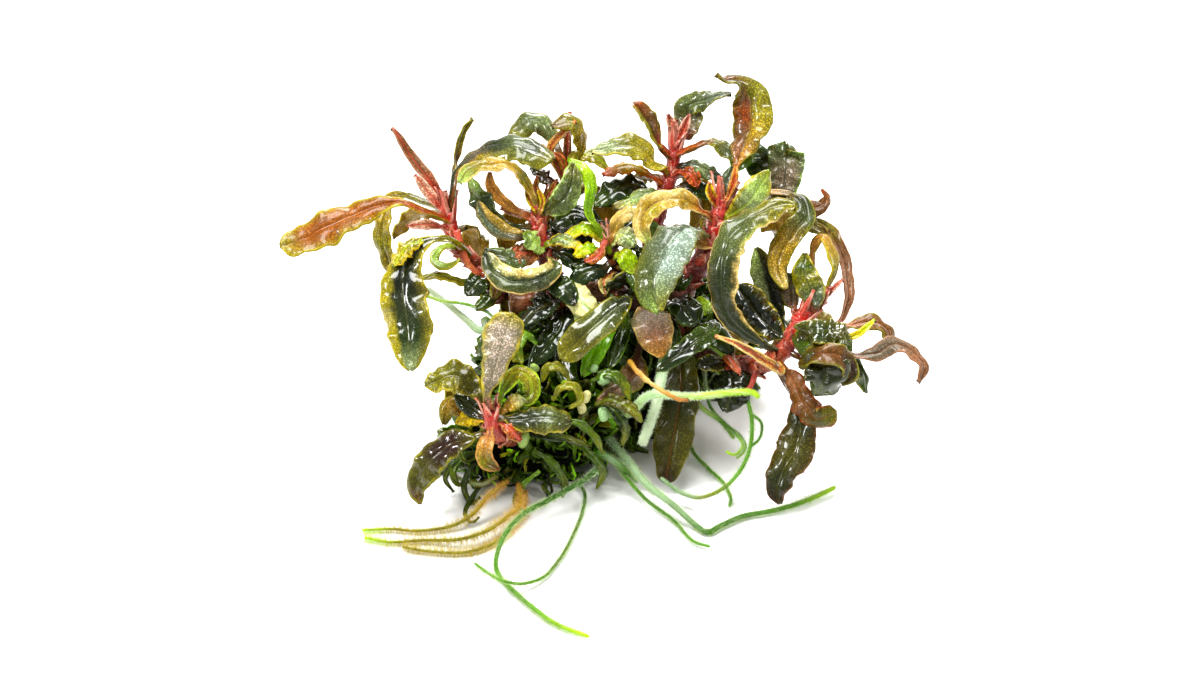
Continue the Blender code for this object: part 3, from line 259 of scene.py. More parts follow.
class Route:
    """A smooth line through places on the board or vectors, which may start on a shoot, the seat."""

    def __init__(self, places, seat=None):
        given = [place if isinstance(place, Vector) else board_point(*place) for place in places]
        if seat:
            given[0] = seat_on(SHOOTS[seat], given[0])
        self.points = curve_through(given, 8)
        lengths = [(b - a).length for a, b in zip(self.points, self.points[1:])]
        self.reach = [0.0]
        for length in lengths:
            self.reach.append(self.reach[-1] + length)
        self.length = self.reach[-1]

    def at(self, share):
        """The point and the direction at a share of the length."""
        goal = min(max(share, 0), 1) * self.length
        last = len(self.points) - 2
        index = 0
        while index < last and self.reach[index + 1] < goal:
            index += 1
        start, end = self.points[index], self.points[index + 1]
        part = (goal - self.reach[index]) / max(self.reach[index + 1] - self.reach[index], 1e-6)
        before = self.points[max(index - 1, 0)]
        after = self.points[min(index + 2, last + 1)]
        direction = (end - before).normalized().lerp((after - start).normalized(), part)
        return start.lerp(end, part), direction.normalized()


# Rhizomes and shoots: the route, and the radius in mm at its foot and at its end.
SHOOTS = {
    "shoot_left": (points("-14.6 6 0.4, -17.7 10.2 -1.6, -20.6 12.6 -1.3, -22.2 15.5 -0.5, -22.7 19 0"), 1.4,
        1.0),
    "shoot_middle": (points("-6.7 9 -1, -8.4 12.6 -0.5, -9.2 15.6 0.2, -9.2 19.2 1"), 1.5, 1.1),
    "shoot_back": (points("-2.5 8.3 -4.6, -3.4 14.5 -6, -4.5 20 -5.4, -4.8 23.5 -5"), 1.2, 0.9),
    "shoot_centre": (points("3.4 8.9 -1.4, 2.2 11.8 -0.3, 0.8 15.2 0.5"), 0.95, 0.8),
    "shoot_top": (points("6.2 7 -5.1, 7.4 13.1 -6.4, 9.4 20.6 -6.2, 10.8 25.1 -6, 11.4 29.6 -5.2"), 1.3, 1.0),
    "shoot_upper_right": (points("11.4 5.5 -4.2, 13.5 9 -1, 16 12.5 1, 17.6 16.5 2.5, 18.4 21 3"), 1.9, 1.35),
    "shoot_right": (points("15.1 -1.6 -3.7, 20 -4 0.5, 24.5 -4 4, 27.5 -1.9 6, 29.5 1.5 7, 31.3 4.4 7.4"),
        1.6, 1.2),
    "rhizome_centre": (points("-13.6 5 1.4, -10.4 5.4 1, -7.4 6.2 0, -3.6 7 -2, 1 6.8 -3, 5.4 5.4 -3.8, "
        "10 3 -4.4, 14 -0.6 -4"), 1.7, 1.5),
    "shoot_lower_left": (points("-13.1 -14.9 8.2, -14.6 -14.8 11.2, -15.9 -13.6 13.4, -16.4 -11.2 14.8"), 1.3,
        1.1),
}


def seat_on(shoot, start):
    """The place nearest to start that is SEAT_SHARE of a shoot's radius away from its middle."""
    places, radius, end_radius = shoot
    axis = [board_point(*place) for place in places]
    best = None
    for index, (before, after) in enumerate(zip(axis, axis[1:])):
        run = after - before
        share = min(max((start - before).dot(run) / run.length_squared, 0), 1)
        foot = before + run * share
        if best is None or (start - foot).length < (start - best[0]).length:
            best = (foot, (index + share) / (len(axis) - 1))
    foot, share = best
    return foot + (start - foot).normalized() * (radius + (end_radius - radius) * share) * SEAT_SHARE


# Meshes


def sizes():
    return bpy.context.scene.plant_sizes


def deselect_all():
    for selected in list(bpy.context.selected_objects):
        selected.select_set(False)


def colour_of(name):
    """A colour of the palette, or what is chosen for it in the panel."""
    if name in CHOSEN_COLOURS:
        return tuple(getattr(bpy.context.scene.plant_colours, CHOSEN_COLOURS[name]))
    return PALETTE[name]


def colours_of(names):
    return [colour_of(name) for name in names.split(", ")]


def blend_colours(colours, share):
    """The colour at a share of the way along a list of colours."""
    place = min(max(share, 0), 1) * (len(colours) - 1)
    index = min(int(place), max(len(colours) - 2, 0))
    end = colours[min(index + 1, len(colours) - 1)]
    return mixed(colours[index], end, place - index) + [1.0]


def mixed(start, end, part):
    return [a + (b - a) * part for a, b in zip(start, end)]


def write_layers(mesh, edge, tone, under=None, rim=None):
    """What the finishes read: the colours of the upper side, the underside and the rim, and how far it is."""
    for name, colours in (("tone", tone), ("under", under or tone), ("rim", rim or tone)):
        layer = mesh.attributes.new(name, "FLOAT_COLOR", "POINT")
        layer.data.foreach_set("color", np.array(colours, np.float32).ravel())
    layer = mesh.attributes.new("edge", "FLOAT", "POINT")
    layer.data.foreach_set("value", np.array(edge, np.float32))


def write_uv(mesh, places):
    """One UV place for each vertex: centimetres along and across the piece."""
    layer = mesh.uv_layers.get("UVMap") or mesh.uv_layers.new(name="UVMap")
    corners = np.zeros(len(mesh.loops), np.int32)
    mesh.loops.foreach_get("vertex_index", corners)
    layer.data.foreach_set("uv", np.array(places, np.float32)[corners].ravel())


def new_piece(name, corners, faces):
    """An object with a mesh of these corners and faces."""
    mesh = bpy.data.meshes.new(name)
    mesh.from_pydata(corners, [], faces)
    piece = bpy.data.objects.new(name, mesh)
    bpy.context.scene.collection.objects.link(piece)
    return piece


def apply_modifier(piece, kind, **values):
    modifier = piece.modifiers.new(kind.lower(), kind)
    for key, value in values.items():
        setattr(modifier, key, value)
    bpy.ops.object.modifier_apply(modifier=modifier.name)


def blade_width(share, stalk, base, tip):
    """How wide a leaf is at a share of its length, from 0 to 1, past its stalk."""
    if share <= stalk:
        return 0.0
    blade = (share - stalk) / (1 - stalk)
    peak = base / (base + tip)
    return (blade / peak) ** base * ((1 - blade) / (1 - peak)) ** tip


def add_leaf(name, width, route, tones, face=(0, 0.4, 0.9), rim="yellow olive", under="ochre",
             other_half=None, tip_face=None, faces=None, stalk=0.3, fold=0.4, curl=(-0.45, -0.45), waves=0.16,
             wave_count=3.0, base=0.6, tip=0.55, crumple=0.3, rim_width=0.22, on=None, finish="leaf_green",
             along=60, across=20, stalk_width=0.8, tip_width=0.12, thick=1.0, seed=None, margin_share=0.4,
             ragged=1.0, jag=0.0, split=0.0):
    """One leaf: a grid shaped along its route, with wavy edges and a sunken midrib, then made thick.

    The upper side looks towards face at the foot and tip_face at the tip, or along faces from foot to tip.
    tones run from foot to tip, and other_half holds those of the half past split. stalk is the share of
    the length that has no blade, base and tip shape its outline, and on is the shoot that it grows from.
    """
    deselect_all()
    bpy.ops.mesh.primitive_grid_add(x_subdivisions=along, y_subdivisions=across, size=1)
    blade = bpy.context.object
    blade.name = name
    mesh = blade.data
    mesh.name = name
    line = Route(route, on)
    waves *= sizes().waviness
    shades, rim_shade, under_shades = colours_of(tones), colour_of(rim), colours_of(under)
    other_shades = colours_of(other_half) if other_half else shades
    facings = [as_direction(f) for f in (faces or [face, tip_face or face])]
    shift = Vector((seed if seed is not None else len(name) * 3.7 + width, width * 5.1, 0))
    stations = []
    for index in range(along + 1):
        share = index / along
        place, direction = line.at(share)
        spot = share * (len(facings) - 1)
        low = min(int(spot), len(facings) - 2)
        facing = facings[low].lerp(facings[low + 1], spot - low)
        sideways = facing.cross(direction).normalized()
        facing = direction.cross(sideways).normalized()
        shape = blade_width(share, stalk, base, tip)
        stations.append((place, sideways, facing, shape, share))
    tone, beneath, margin, edge, places, body = [], [], [], [], [], []
    for vertex in mesh.vertices:
        side = vertex.co.y * 2
        place, sideways, facing, shape, share = stations[round((vertex.co.x + 0.5) * along)]
        hand = 1 if side > 0 else -1
        along_mm = share * line.length
        uneven = 1
        for size, per_mm, apart, layer in RAGGED_EDGE:
            uneven += size * ragged * noise.noise(Vector((along_mm * per_mm, hand * apart, layer)) + shift)
        least = stalk_width / 2 + (tip_width - stalk_width) / 2 * share ** 2
        half = max(shape * width / 2 * uneven * sizes().leaf_width, least)
        broad = min(shape * 1.4, 1)
        turn = curl[0] if side > 0 else curl[1]
        ripple = math.sin(share * math.tau * wave_count + hand * 1.3 + shift.x)
        ripple += 0.7 * math.sin(share * math.tau * wave_count * 2.3 + hand * 2.1 + shift.y)
        ripple += 1.1 * ragged * noise.noise(Vector((along_mm * 0.8, hand * 5, 9)) + shift)
        rise = (fold * abs(side) + turn * side ** 2 + waves * ripple * abs(side) ** 1.6) * half
        rise -= GROOVE_DEPTH * broad * math.exp(-(side / GROOVE_WIDTH) ** 2)
        spot = place + sideways * side * half + facing * rise
        if jag:
            torn = jag * noise.noise(Vector((side * 2.3, 0, 7)) + shift) * share ** 8
            spot += facing.cross(sideways) * torn
        rough = noise.noise(spot * 0.42 + shift) * crumple * broad
        rough += noise.noise(spot * 1.1 + shift) * crumple * 0.3 * broad
        rough += noise.noise(Vector((along_mm * 0.35, side * half * 1.5, 4)) + shift) * 0.06 * broad
        vertex.co = (spot + facing * rough) * MM
        middle = blend_colours(shades, share)
        if other_half:
            part = min(max(0.5 - (side - split + 0.25 * noise.noise(spot * 0.8 + shift)) * 4, 0), 1)
            middle = mixed(middle, blend_colours(other_shades, share), part)
        outer = min(max((abs(side) - MARGIN_FROM) / (1 - MARGIN_FROM), 0), 1) ** 1.5 * margin_share
        tone.append(mixed(middle, [*rim_shade, 1.0], outer))
        beneath.append(blend_colours(under_shades, share))
        margin.append([*rim_shade, 1.0])
        edge.append(((1 - abs(side)) * half / rim_width) if shape > 0.12 else FAR_FROM_EDGE)
        places.append((along_mm / 10, side * half / 10))
        body.append(1 - BLADE_THINNING * min(shape * 2.5, 1))
    write_layers(mesh, edge, tone, beneath, margin)
    write_uv(mesh, places)
    group = blade.vertex_groups.new(name="body")
    for index, weight in enumerate(body):
        group.add([index], weight, "REPLACE")
    mesh.materials.append(material(finish))
    mesh.materials.append(material("underside"))
    apply_modifier(blade, "SOLIDIFY", thickness=sizes().stalk_thickness * thick, offset=0,
                   vertex_group="body", material_offset=1, material_offset_rim=0, use_even_offset=False)
    blade.vertex_groups.clear()
    bpy.ops.object.shade_smooth()
    return blade


def add_tube(name, radius, places, tones, finish, end_radius=None, rings=0, swell=0.0, sides=14,
             spacing=0.5, wander=0.05, floor=None):
    """A stem or a root: a grid rolled round its route and closed at both ends."""
    line = Route(places)
    along = max(int(line.length / spacing), 6)
    deselect_all()
    bpy.ops.mesh.primitive_grid_add(x_subdivisions=along, y_subdivisions=sides, size=1)
    tube = bpy.context.object
    tube.name = name
    mesh = tube.data
    mesh.name = name
    end_radius = end_radius or radius
    first = line.at(0)[1]
    normal = first.orthogonal().normalized()
    stations = []
    for index in range(along + 1):
        share = index / along
        place, direction = line.at(share)
        normal = (normal - direction * normal.dot(direction)).normalized()
        stations.append((place, normal, direction.cross(normal), share))
    shades = colours_of(tones)
    tone, places_uv = [], []
    for vertex in mesh.vertices:
        place, normal, binormal, share = stations[round((vertex.co.x + 0.5) * along)]
        turn = (vertex.co.y + 0.5) * math.tau
        size = radius + (end_radius - radius) * share
        if rings:
            size *= 1 + swell * (2 * abs((share * rings) % 1 - 0.5)) ** 5
        if share > ROUND_FROM:
            size *= math.sqrt(max(1 - ((share - ROUND_FROM) / (1 - ROUND_FROM)) ** 2, LEAST_END))
        out = normal * math.cos(turn) + binormal * math.sin(turn)
        skin = place + out * size
        size *= 1 + wander * (noise.noise(skin * 1.3) + noise.noise(skin * 3.1))
        vertex.co = (place + out * size) * MM
        if floor is not None:
            vertex.co.z = max(vertex.co.z, floor * MM)
        tone.append(blend_colours(shades, share))
        places_uv.append((share * line.length / 10, turn * size / 10))
    write_layers(mesh, [FAR_FROM_EDGE] * len(tone), tone)
    write_uv(mesh, places_uv)
    mesh.materials.append(material(finish))
    bpy.ops.object.mode_set(mode="EDIT")
    bpy.ops.mesh.select_all(action="SELECT")
    bpy.ops.mesh.remove_doubles(threshold=0.000002)
    bpy.ops.mesh.select_all(action="DESELECT")
    bpy.ops.mesh.select_mode(type="VERT")
    bpy.ops.mesh.select_non_manifold()
    bpy.ops.mesh.edge_face_add()
    bpy.ops.mesh.select_all(action="SELECT")
    bpy.ops.mesh.normals_make_consistent(inside=False)
    bpy.ops.object.mode_set(mode="OBJECT")
    bpy.ops.object.shade_smooth()
    return tube


def join(name, pieces):
    """One object of several pieces."""
    deselect_all()
    for piece in pieces:
        piece.select_set(True)
    bpy.context.view_layer.objects.active = pieces[0]
    if len(pieces) > 1:
        bpy.ops.object.join()
    whole = bpy.context.object
    whole.name = name
    whole.data.name = name
    return whole


def finish_piece(piece, node):
    """Puts a finished piece in place of a solid of the frame."""
    piece.name = node + "_grown"
    piece.data.name = piece.name
    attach(piece, BODY)
    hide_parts(node)


# Materials


def new_group(name, colours, values):
    """An empty shader node group with its sockets, its input node and its output node."""
    tree = bpy.data.node_groups.new(name, "ShaderNodeTree")
    for label in colours:
        tree.interface.new_socket(label, in_out="INPUT", socket_type="NodeSocketColor")
    for label in values:
        tree.interface.new_socket(label, in_out="INPUT", socket_type="NodeSocketFloat")
    tree.interface.new_socket("Color", in_out="OUTPUT", socket_type="NodeSocketColor")
    for label in ("Roughness", "Height"):
        tree.interface.new_socket(label, in_out="OUTPUT", socket_type="NodeSocketFloat")
    return tree, tree.nodes.new("NodeGroupInput"), tree.nodes.new("NodeGroupOutput")


class Maker:
    """Short ways to add nodes to one tree. A value that is a socket is linked, and any other is typed in."""

    def __init__(self, tree):
        self.tree = tree

    def put(self, socket, value):
        if isinstance(value, bpy.types.NodeSocket):
            self.tree.links.new(value, socket)
        elif value is not None:
            socket.default_value = value

    def math(self, operation, a, b=None, c=None):
        node = self.tree.nodes.new("ShaderNodeMath")
        node.operation = operation
        for socket, value in zip(node.inputs, (a, b, c)):
            self.put(socket, value)
        return node.outputs[0]

    def ramp(self, value, low, high, to_low=0.0, to_high=1.0):
        node = self.tree.nodes.new("ShaderNodeMapRange")
        node.interpolation_type = "SMOOTHSTEP"
        for socket, number in zip(node.inputs, (value, low, high, to_low, to_high)):
            self.put(socket, number)
        return node.outputs[0]

    def mix(self, share, a, b, mode="MIX"):
        node = self.tree.nodes.new("ShaderNodeMix")
        node.data_type = "RGBA"
        node.blend_type = mode
        self.put(node.inputs[0], share)
        self.put(node.inputs[6], a)
        self.put(node.inputs[7], b)
        return node.outputs[2]

    def noise(self, vector, scale, detail=2.0, roughness=0.5):
        node = self.tree.nodes.new("ShaderNodeTexNoise")
        self.put(node.inputs["Vector"], vector)
        node.inputs["Scale"].default_value = scale
        node.inputs["Detail"].default_value = detail
        node.inputs["Roughness"].default_value = roughness
        return node.outputs[0]

    def cells(self, vector, scale, feature="F1"):
        node = self.tree.nodes.new("ShaderNodeTexVoronoi")
        node.feature = feature
        self.put(node.inputs["Vector"], vector)
        node.inputs["Scale"].default_value = scale
        return node.outputs["Distance"]

    def place(self):
        return self.tree.nodes.new("ShaderNodeTexCoord").outputs["Object"]

    def attribute(self, name, output="Color"):
        node = self.tree.nodes.new("ShaderNodeAttribute")
        node.attribute_name = name
        return node.outputs[output]

    def grouped(self, tree, values):
        """The colour, the roughness and the height of a pattern with these values."""
        node = self.tree.nodes.new("ShaderNodeGroup")
        node.node_tree = tree
        for label, value in values.items():
            self.put(node.inputs[label], value)
        return [node.outputs[label] for label in ("Color", "Roughness", "Height")]


def blade_pattern():
    """Veins, pale dots, mottling and a coloured rim on a leaf, and the height that goes with them."""
    found = bpy.data.node_groups.get("blade pattern")
    if found:
        return found
    tree, start, end = new_group("blade pattern", ("Tone", "Rim", "Vein"),
                                 ("Veins", "Dots", "Mottle", "Grain", "Smooth"))
    make = Maker(tree)
    place = make.place()
    uv = tree.nodes.new("ShaderNodeUVMap")
    uv.uv_map = "UVMap"
    split = tree.nodes.new("ShaderNodeSeparateXYZ")
    tree.links.new(uv.outputs[0], split.inputs[0])
    along = split.outputs[0]
    aside = make.math("ABSOLUTE", split.outputs[1])
    flow = tree.nodes.new("ShaderNodeMapping")
    flow.inputs["Scale"].default_value = (5.0, 24.0, 1.0)
    tree.links.new(uv.outputs[0], flow.inputs["Vector"])
    streaks = make.noise(flow.outputs[0], 1.0, 4.0, 0.6)
    broad = make.noise(place, 260.0, 3.0)
    fine = make.noise(place, 2100.0, 3.0, 0.7)
    dots = make.ramp(make.cells(place, 2500.0), 0.22, 0.10)
    clusters = make.ramp(make.noise(place, 620.0, 2.0), 0.38, 0.60)
    midrib = make.ramp(aside, 0.034, 0.012)
    slant = make.math("MULTIPLY_ADD", aside, VEIN_SLANT, along)
    wavy = make.math("MULTIPLY_ADD", make.noise(place, 330.0, 1.0), VEIN_WAVER, slant)
    step = make.math("FRACT", make.math("MULTIPLY", wavy, VEINS_PER_CM))
    veins = make.ramp(make.math("ABSOLUTE", make.math("SUBTRACT", step, 0.5)), 0.38, 0.5)
    veins = make.math("MULTIPLY", veins, make.ramp(aside, 0.01, 0.05))
    dark = make.mix(1.0, start.outputs["Tone"], (0.40, 0.46, 0.30, 1), "MULTIPLY")
    colour = make.mix(make.math("MULTIPLY", make.ramp(broad, 0.35, 0.66), start.outputs["Mottle"]),
                      start.outputs["Tone"], dark)
    pebbles = make.ramp(make.cells(place, 3300.0), 0.60, 0.12)
    contrast = make.math("MULTIPLY_ADD", streaks, 0.40, make.math("MULTIPLY", fine, 0.22))
    contrast = make.math("MULTIPLY_ADD", pebbles, 0.38, contrast)
    deeper = make.mix(1.0, colour, (0.46, 0.48, 0.36, 1), "MULTIPLY")
    paler = make.mix(1.0, colour, (1.62, 1.58, 1.42, 1), "MULTIPLY")
    grained = make.mix(make.ramp(contrast, 0.30, 0.74), deeper, paler)
    colour = make.mix(start.outputs["Grain"], colour, grained)
    lighter = make.mix(1.0, make.mix(1.0, start.outputs["Tone"], (1.9, 1.9, 1.6, 1), "MULTIPLY"),
                       (0.05, 0.05, 0.03, 1), "ADD")
    dotted = make.math("MULTIPLY", make.math("MULTIPLY", dots, clusters), start.outputs["Dots"])
    colour = make.mix(dotted, colour, lighter)
    ribs = make.math("MAXIMUM", make.math("MULTIPLY", veins, 0.35), midrib)
    colour = make.mix(make.math("MULTIPLY", ribs, start.outputs["Veins"]), colour, start.outputs["Vein"])
    grain = make.math("SUBTRACT", fine, 0.5)
    edge = make.math("MULTIPLY_ADD", make.math("SUBTRACT", make.noise(place, 900.0), 0.5), 1.6,
                     make.attribute("edge", "Fac"))
    broken = make.ramp(make.noise(place, 380.0, 2.0), 0.36, 0.6, 0.2, 0.85)
    colour = make.mix(make.math("MULTIPLY", make.ramp(edge, 1.2, 0.6), broken), colour, start.outputs["Rim"])
    tree.links.new(colour, end.inputs["Color"])
    rough = make.math("MULTIPLY_ADD", grain, 0.4, start.outputs["Smooth"])
    tree.links.new(make.math("MAXIMUM", rough, 0.06), end.inputs["Roughness"])
    crinkle = make.cells(place, 720.0, "SMOOTH_F1")
    height = make.math("MULTIPLY_ADD", crinkle, 0.20, make.math("MULTIPLY", fine, 0.12))
    for layer, rise in ((pebbles, 0.22), (streaks, 0.55), (veins, -0.08), (midrib, -0.30), (dots, 0.08)):
        height = make.math("MULTIPLY_ADD", layer, rise, height)
    tree.links.new(height, end.inputs["Height"])
    return tree


def stem_pattern():
    """Streaks along a stem, with pale scars and darker dirt."""
    found = bpy.data.node_groups.get("stem pattern")
    if found:
        return found
    tree, start, end = new_group("stem pattern", ("Tone", "Streak"), ("Streaks", "Dirt", "Smooth"))
    make = Maker(tree)
    place = make.place()
    uv = tree.nodes.new("ShaderNodeUVMap")
    uv.uv_map = "UVMap"
    stretch = tree.nodes.new("ShaderNodeMapping")
    stretch.inputs["Scale"].default_value = (0.6, 6.0, 1.0)
    tree.links.new(uv.outputs[0], stretch.inputs["Vector"])
    lines = make.noise(stretch.outputs[0], 4.0, 3.0, 0.6)
    broad = make.noise(place, 420.0, 3.0)
    fine = make.noise(place, 2600.0, 3.0, 0.6)
    colour = make.mix(make.math("MULTIPLY", make.ramp(lines, 0.45, 0.72), start.outputs["Streaks"]),
                      start.outputs["Tone"], start.outputs["Streak"])
    colour = make.mix(make.math("MULTIPLY", make.ramp(broad, 0.46, 0.72), start.outputs["Dirt"]), colour,
                      make.mix(1.0, colour, (0.30, 0.26, 0.26, 1), "MULTIPLY"))
    tree.links.new(colour, end.inputs["Color"])
    tree.links.new(make.math("MULTIPLY_ADD", make.math("SUBTRACT", fine, 0.5), 0.3, start.outputs["Smooth"]),
                   end.inputs["Roughness"])
    height = make.math("MULTIPLY_ADD", lines, 0.7, make.math("MULTIPLY", fine, 0.5))
    tree.links.new(height, end.inputs["Height"])
    return tree


# Finishes of leaves: the colour layer, the vein colour, veins, dots, mottle, grain, roughness, coat and
# relief in mm.
BLADES = {
    "leaf_green": ("tone", "lime", 0.25, 0.35, 0.4, 0.7, 0.26, 0.8, 0.12),
    "leaf_slate": ("tone", "dark slate", 0.35, 0.45, 0.4, 0.85, 0.30, 0.7, 0.12),
    "leaf_olive": ("tone", "dark olive", 0.3, 0.45, 0.45, 0.9, 0.32, 0.6, 0.12),
    "leaf_ochre": ("tone", "brown", 0.25, 0.25, 0.3, 0.6, 0.36, 0.4, 0.14),
    "leaf_brown": ("tone", "rust", 0.15, 0.3, 0.4, 0.7, 0.34, 0.4, 0.14),
    "leaf_dark": ("tone", "olive", 0.08, 0.12, 0.3, 0.7, 0.18, 1.0, 0.08),
    "underside": ("under", "brown", 0.3, 0.3, 0.3, 0.6, 0.40, 0.3, 0.16),
    "bract": ("tone", "pink", 0.5, 0.1, 0.5, 1.0, 0.32, 0.5, 0.2),
    "undergrowth": ("tone", "lime", 0.1, 0.15, 0.4, 0.5, 0.28, 0.5, 0.10),
    # The core of the clump: black green partly for its dense growth and partly as painted shade deep inside.
    "painted_shade_core": ("tone", "black green", 0.0, 0.1, 0.7, 0.8, 0.85, 0.0, 0.8),
    "pale_blade": ("tone", "leaf green", 0.8, 0.0, 0.15, 0.3, 0.32, 0.5, 0.10),
    "bud": ("tone", "lime", 0.0, 0.1, 0.3, 0.3, 0.34, 0.5, 0.06),
}

# Finishes of stems: the streak colour, streaks, dirt, roughness, coat and relief in mm.
STEMS = {
    "shoot_red": ("pale pink", 0.65, 0.6, 0.36, 0.5, 0.45),
    "rhizome": ("pink brown", 0.5, 0.6, 0.42, 0.4, 0.5),
    "root": ("root green", 0.4, 0.4, 0.5, 0.2, 0.2),
    "root_white": ("root white", 0.7, 0.1, 0.6, 0.1, 0.25),
    "root_hair": ("root white", 0.1, 0.0, 0.7, 0.0, 0.05),
    "stalk": ("tan", 0.5, 0.5, 0.5, 0.15, 0.3),
}


def material(name):
    """The finish of this name, made when it is first asked for."""
    found = bpy.data.materials.get("grown " + name)
    if found:
        return found
    made = bpy.data.materials.new("grown " + name)
    made.use_nodes = True
    tree = made.node_tree
    shader = tree.nodes["Principled BSDF"]
    make = Maker(tree)
    if name in BLADES:
        attribute, vein, veins, dots, mottle, grain, smooth, coat, depth = BLADES[name]
        values = {
            "Tone": make.attribute(attribute), "Rim": make.attribute("rim"), "Vein": (*colour_of(vein), 1),
            "Veins": veins, "Dots": dots, "Mottle": mottle, "Grain": grain, "Smooth": smooth,
        }
        colour, rough, height = make.grouped(blade_pattern(), values)
    else:
        streak, streaks, dirt, smooth, coat, depth = STEMS[name]
        values = {
            "Tone": make.attribute("tone"), "Streak": (*colour_of(streak), 1), "Streaks": streaks,
            "Dirt": dirt, "Smooth": smooth,
        }
        colour, rough, height = make.grouped(stem_pattern(), values)
    make.put(shader.inputs["Base Color"], colour)
    make.put(shader.inputs["Roughness"], rough)
    bump = tree.nodes.new("ShaderNodeBump")
    bump.inputs["Distance"].default_value = depth * MM
    bump.inputs["Strength"].default_value = 0.8
    make.put(bump.inputs["Height"], height)
    make.put(shader.inputs["Normal"], bump.outputs[0])
    shader.inputs["Specular IOR Level"].default_value = 0.25
    shader.inputs["Coat Weight"].default_value = coat * sizes().wetness
    shader.inputs["Coat Roughness"].default_value = 0.08
    shader.inputs["Coat IOR"].default_value = 1.4
    return made


# The plant


def leaf(width, route, tones, finish="leaf_green", **others):
    """A small leaf: its width in mm, its route, its colours from foot to tip, its finish and the rest."""
    return dict(width=width, route=points(route), tones=tones, finish=finish, **others)


def large(name, width, route, tones, **others):
    """A large leaf, which stands in place of the solid of this name and has its slot's finish unless another is
    given.
    """
    return dict(name=name, width=width, route=points(route), tones=tones, **others)


def root(name, radius, route, tones, **others):
    """A long root: its radius in mm, its route, its colours along it and its fuzz.

    The route runs from foot to tip, or from tip to foot if it is marked backward, as the golden roots are.
    """
    return dict(name=name, radius=radius, route=points(route), tones=tones, **others)


LEFT_LEAVES = [
    large("leaf_far_left", 5.8, "-23.8 16.9 3.2, -26.6 18.9 4.2, -30.3 20.3 5, -34.2 19.4 5, -40 17 6.5, "
        "-45 14.5 7, -47.9 13.7 7.5", "red, rust, rust, amber, amber, copper, amber, copper, yellow olive",
        face=(-0.1, 0.5, 0.85), stalk=0.28, waves=0.14, wave_count=4.0, rim_width=0.4, margin_share=0.8,
        under="rust, ochre, beige", tip=0.35, base=0.8),
    # The mauve band on this leaf is partly its own colour and partly a painted highlight.
    large("leaf_left_arch", 5.4, "-21.5 20 1.2, -21.9 22.5 1.2, -21.3 25 1, -18.5 27.6 1.5, -16.2 28.6 2.5, "
        "-12 28.9 4, -7.2 26.6 5.5", "wine, dark slate, dark slate, mauve, dark slate, slate, dark slate, "
        "olive", faces=[(-0.6, 0.4, 0.7), (-0.4, 0.6, 0.7), (0.1, 0.75, 0.65)], stalk=0.24, fold=0.1,
        base=0.8, tip=0.35, waves=0.1, margin_share=0.6, other_half="wine, rust, ochre, olive, slate, olive",
        split=-0.4, rim="olive", rim_width=0.3, under="rust, ochre"),
    large("leaf_left_hanging_back", 3.2, "-24.4 19.2 -2, -30 21.4 -3.5, -31.8 19.9 -4, -32.7 15.4 -4.5, "
        "-31.8 11.3 -4.5, -30.5 8.9 -4", "olive, olive, ochre, olive, ochre", face=(0, 0.9, 0.4),
        tip_face=(-0.7, 0.2, 0.7)),
    large("leaf_left_hanging_front", 7.2, "-18.4 13.3 1.8, -22.4 14.6 4.5, -26.9 14 6.5, -29.2 10.5 8, "
        "-29.6 7 9, -28.9 2 10, -28.4 -4.9 10.5", "wine, olive, dark olive, dark slate, black green, "
        "dark slate, dark green, pale slate", finish="leaf_dark", face=(-0.1, 0.8, 0.6),
        tip_face=(-0.2, 0.05, 0.97), stalk=0.26, fold=0.35, other_half="wine, olive, olive, olive, "
        "yellow olive, yellow olive, olive", split=-0.5, rim_width=0.35, margin_share=0.7, under="brown, "
        "olive, yellow olive", base=1.0, tip=0.62, waves=0.2, ragged=1.5),
]

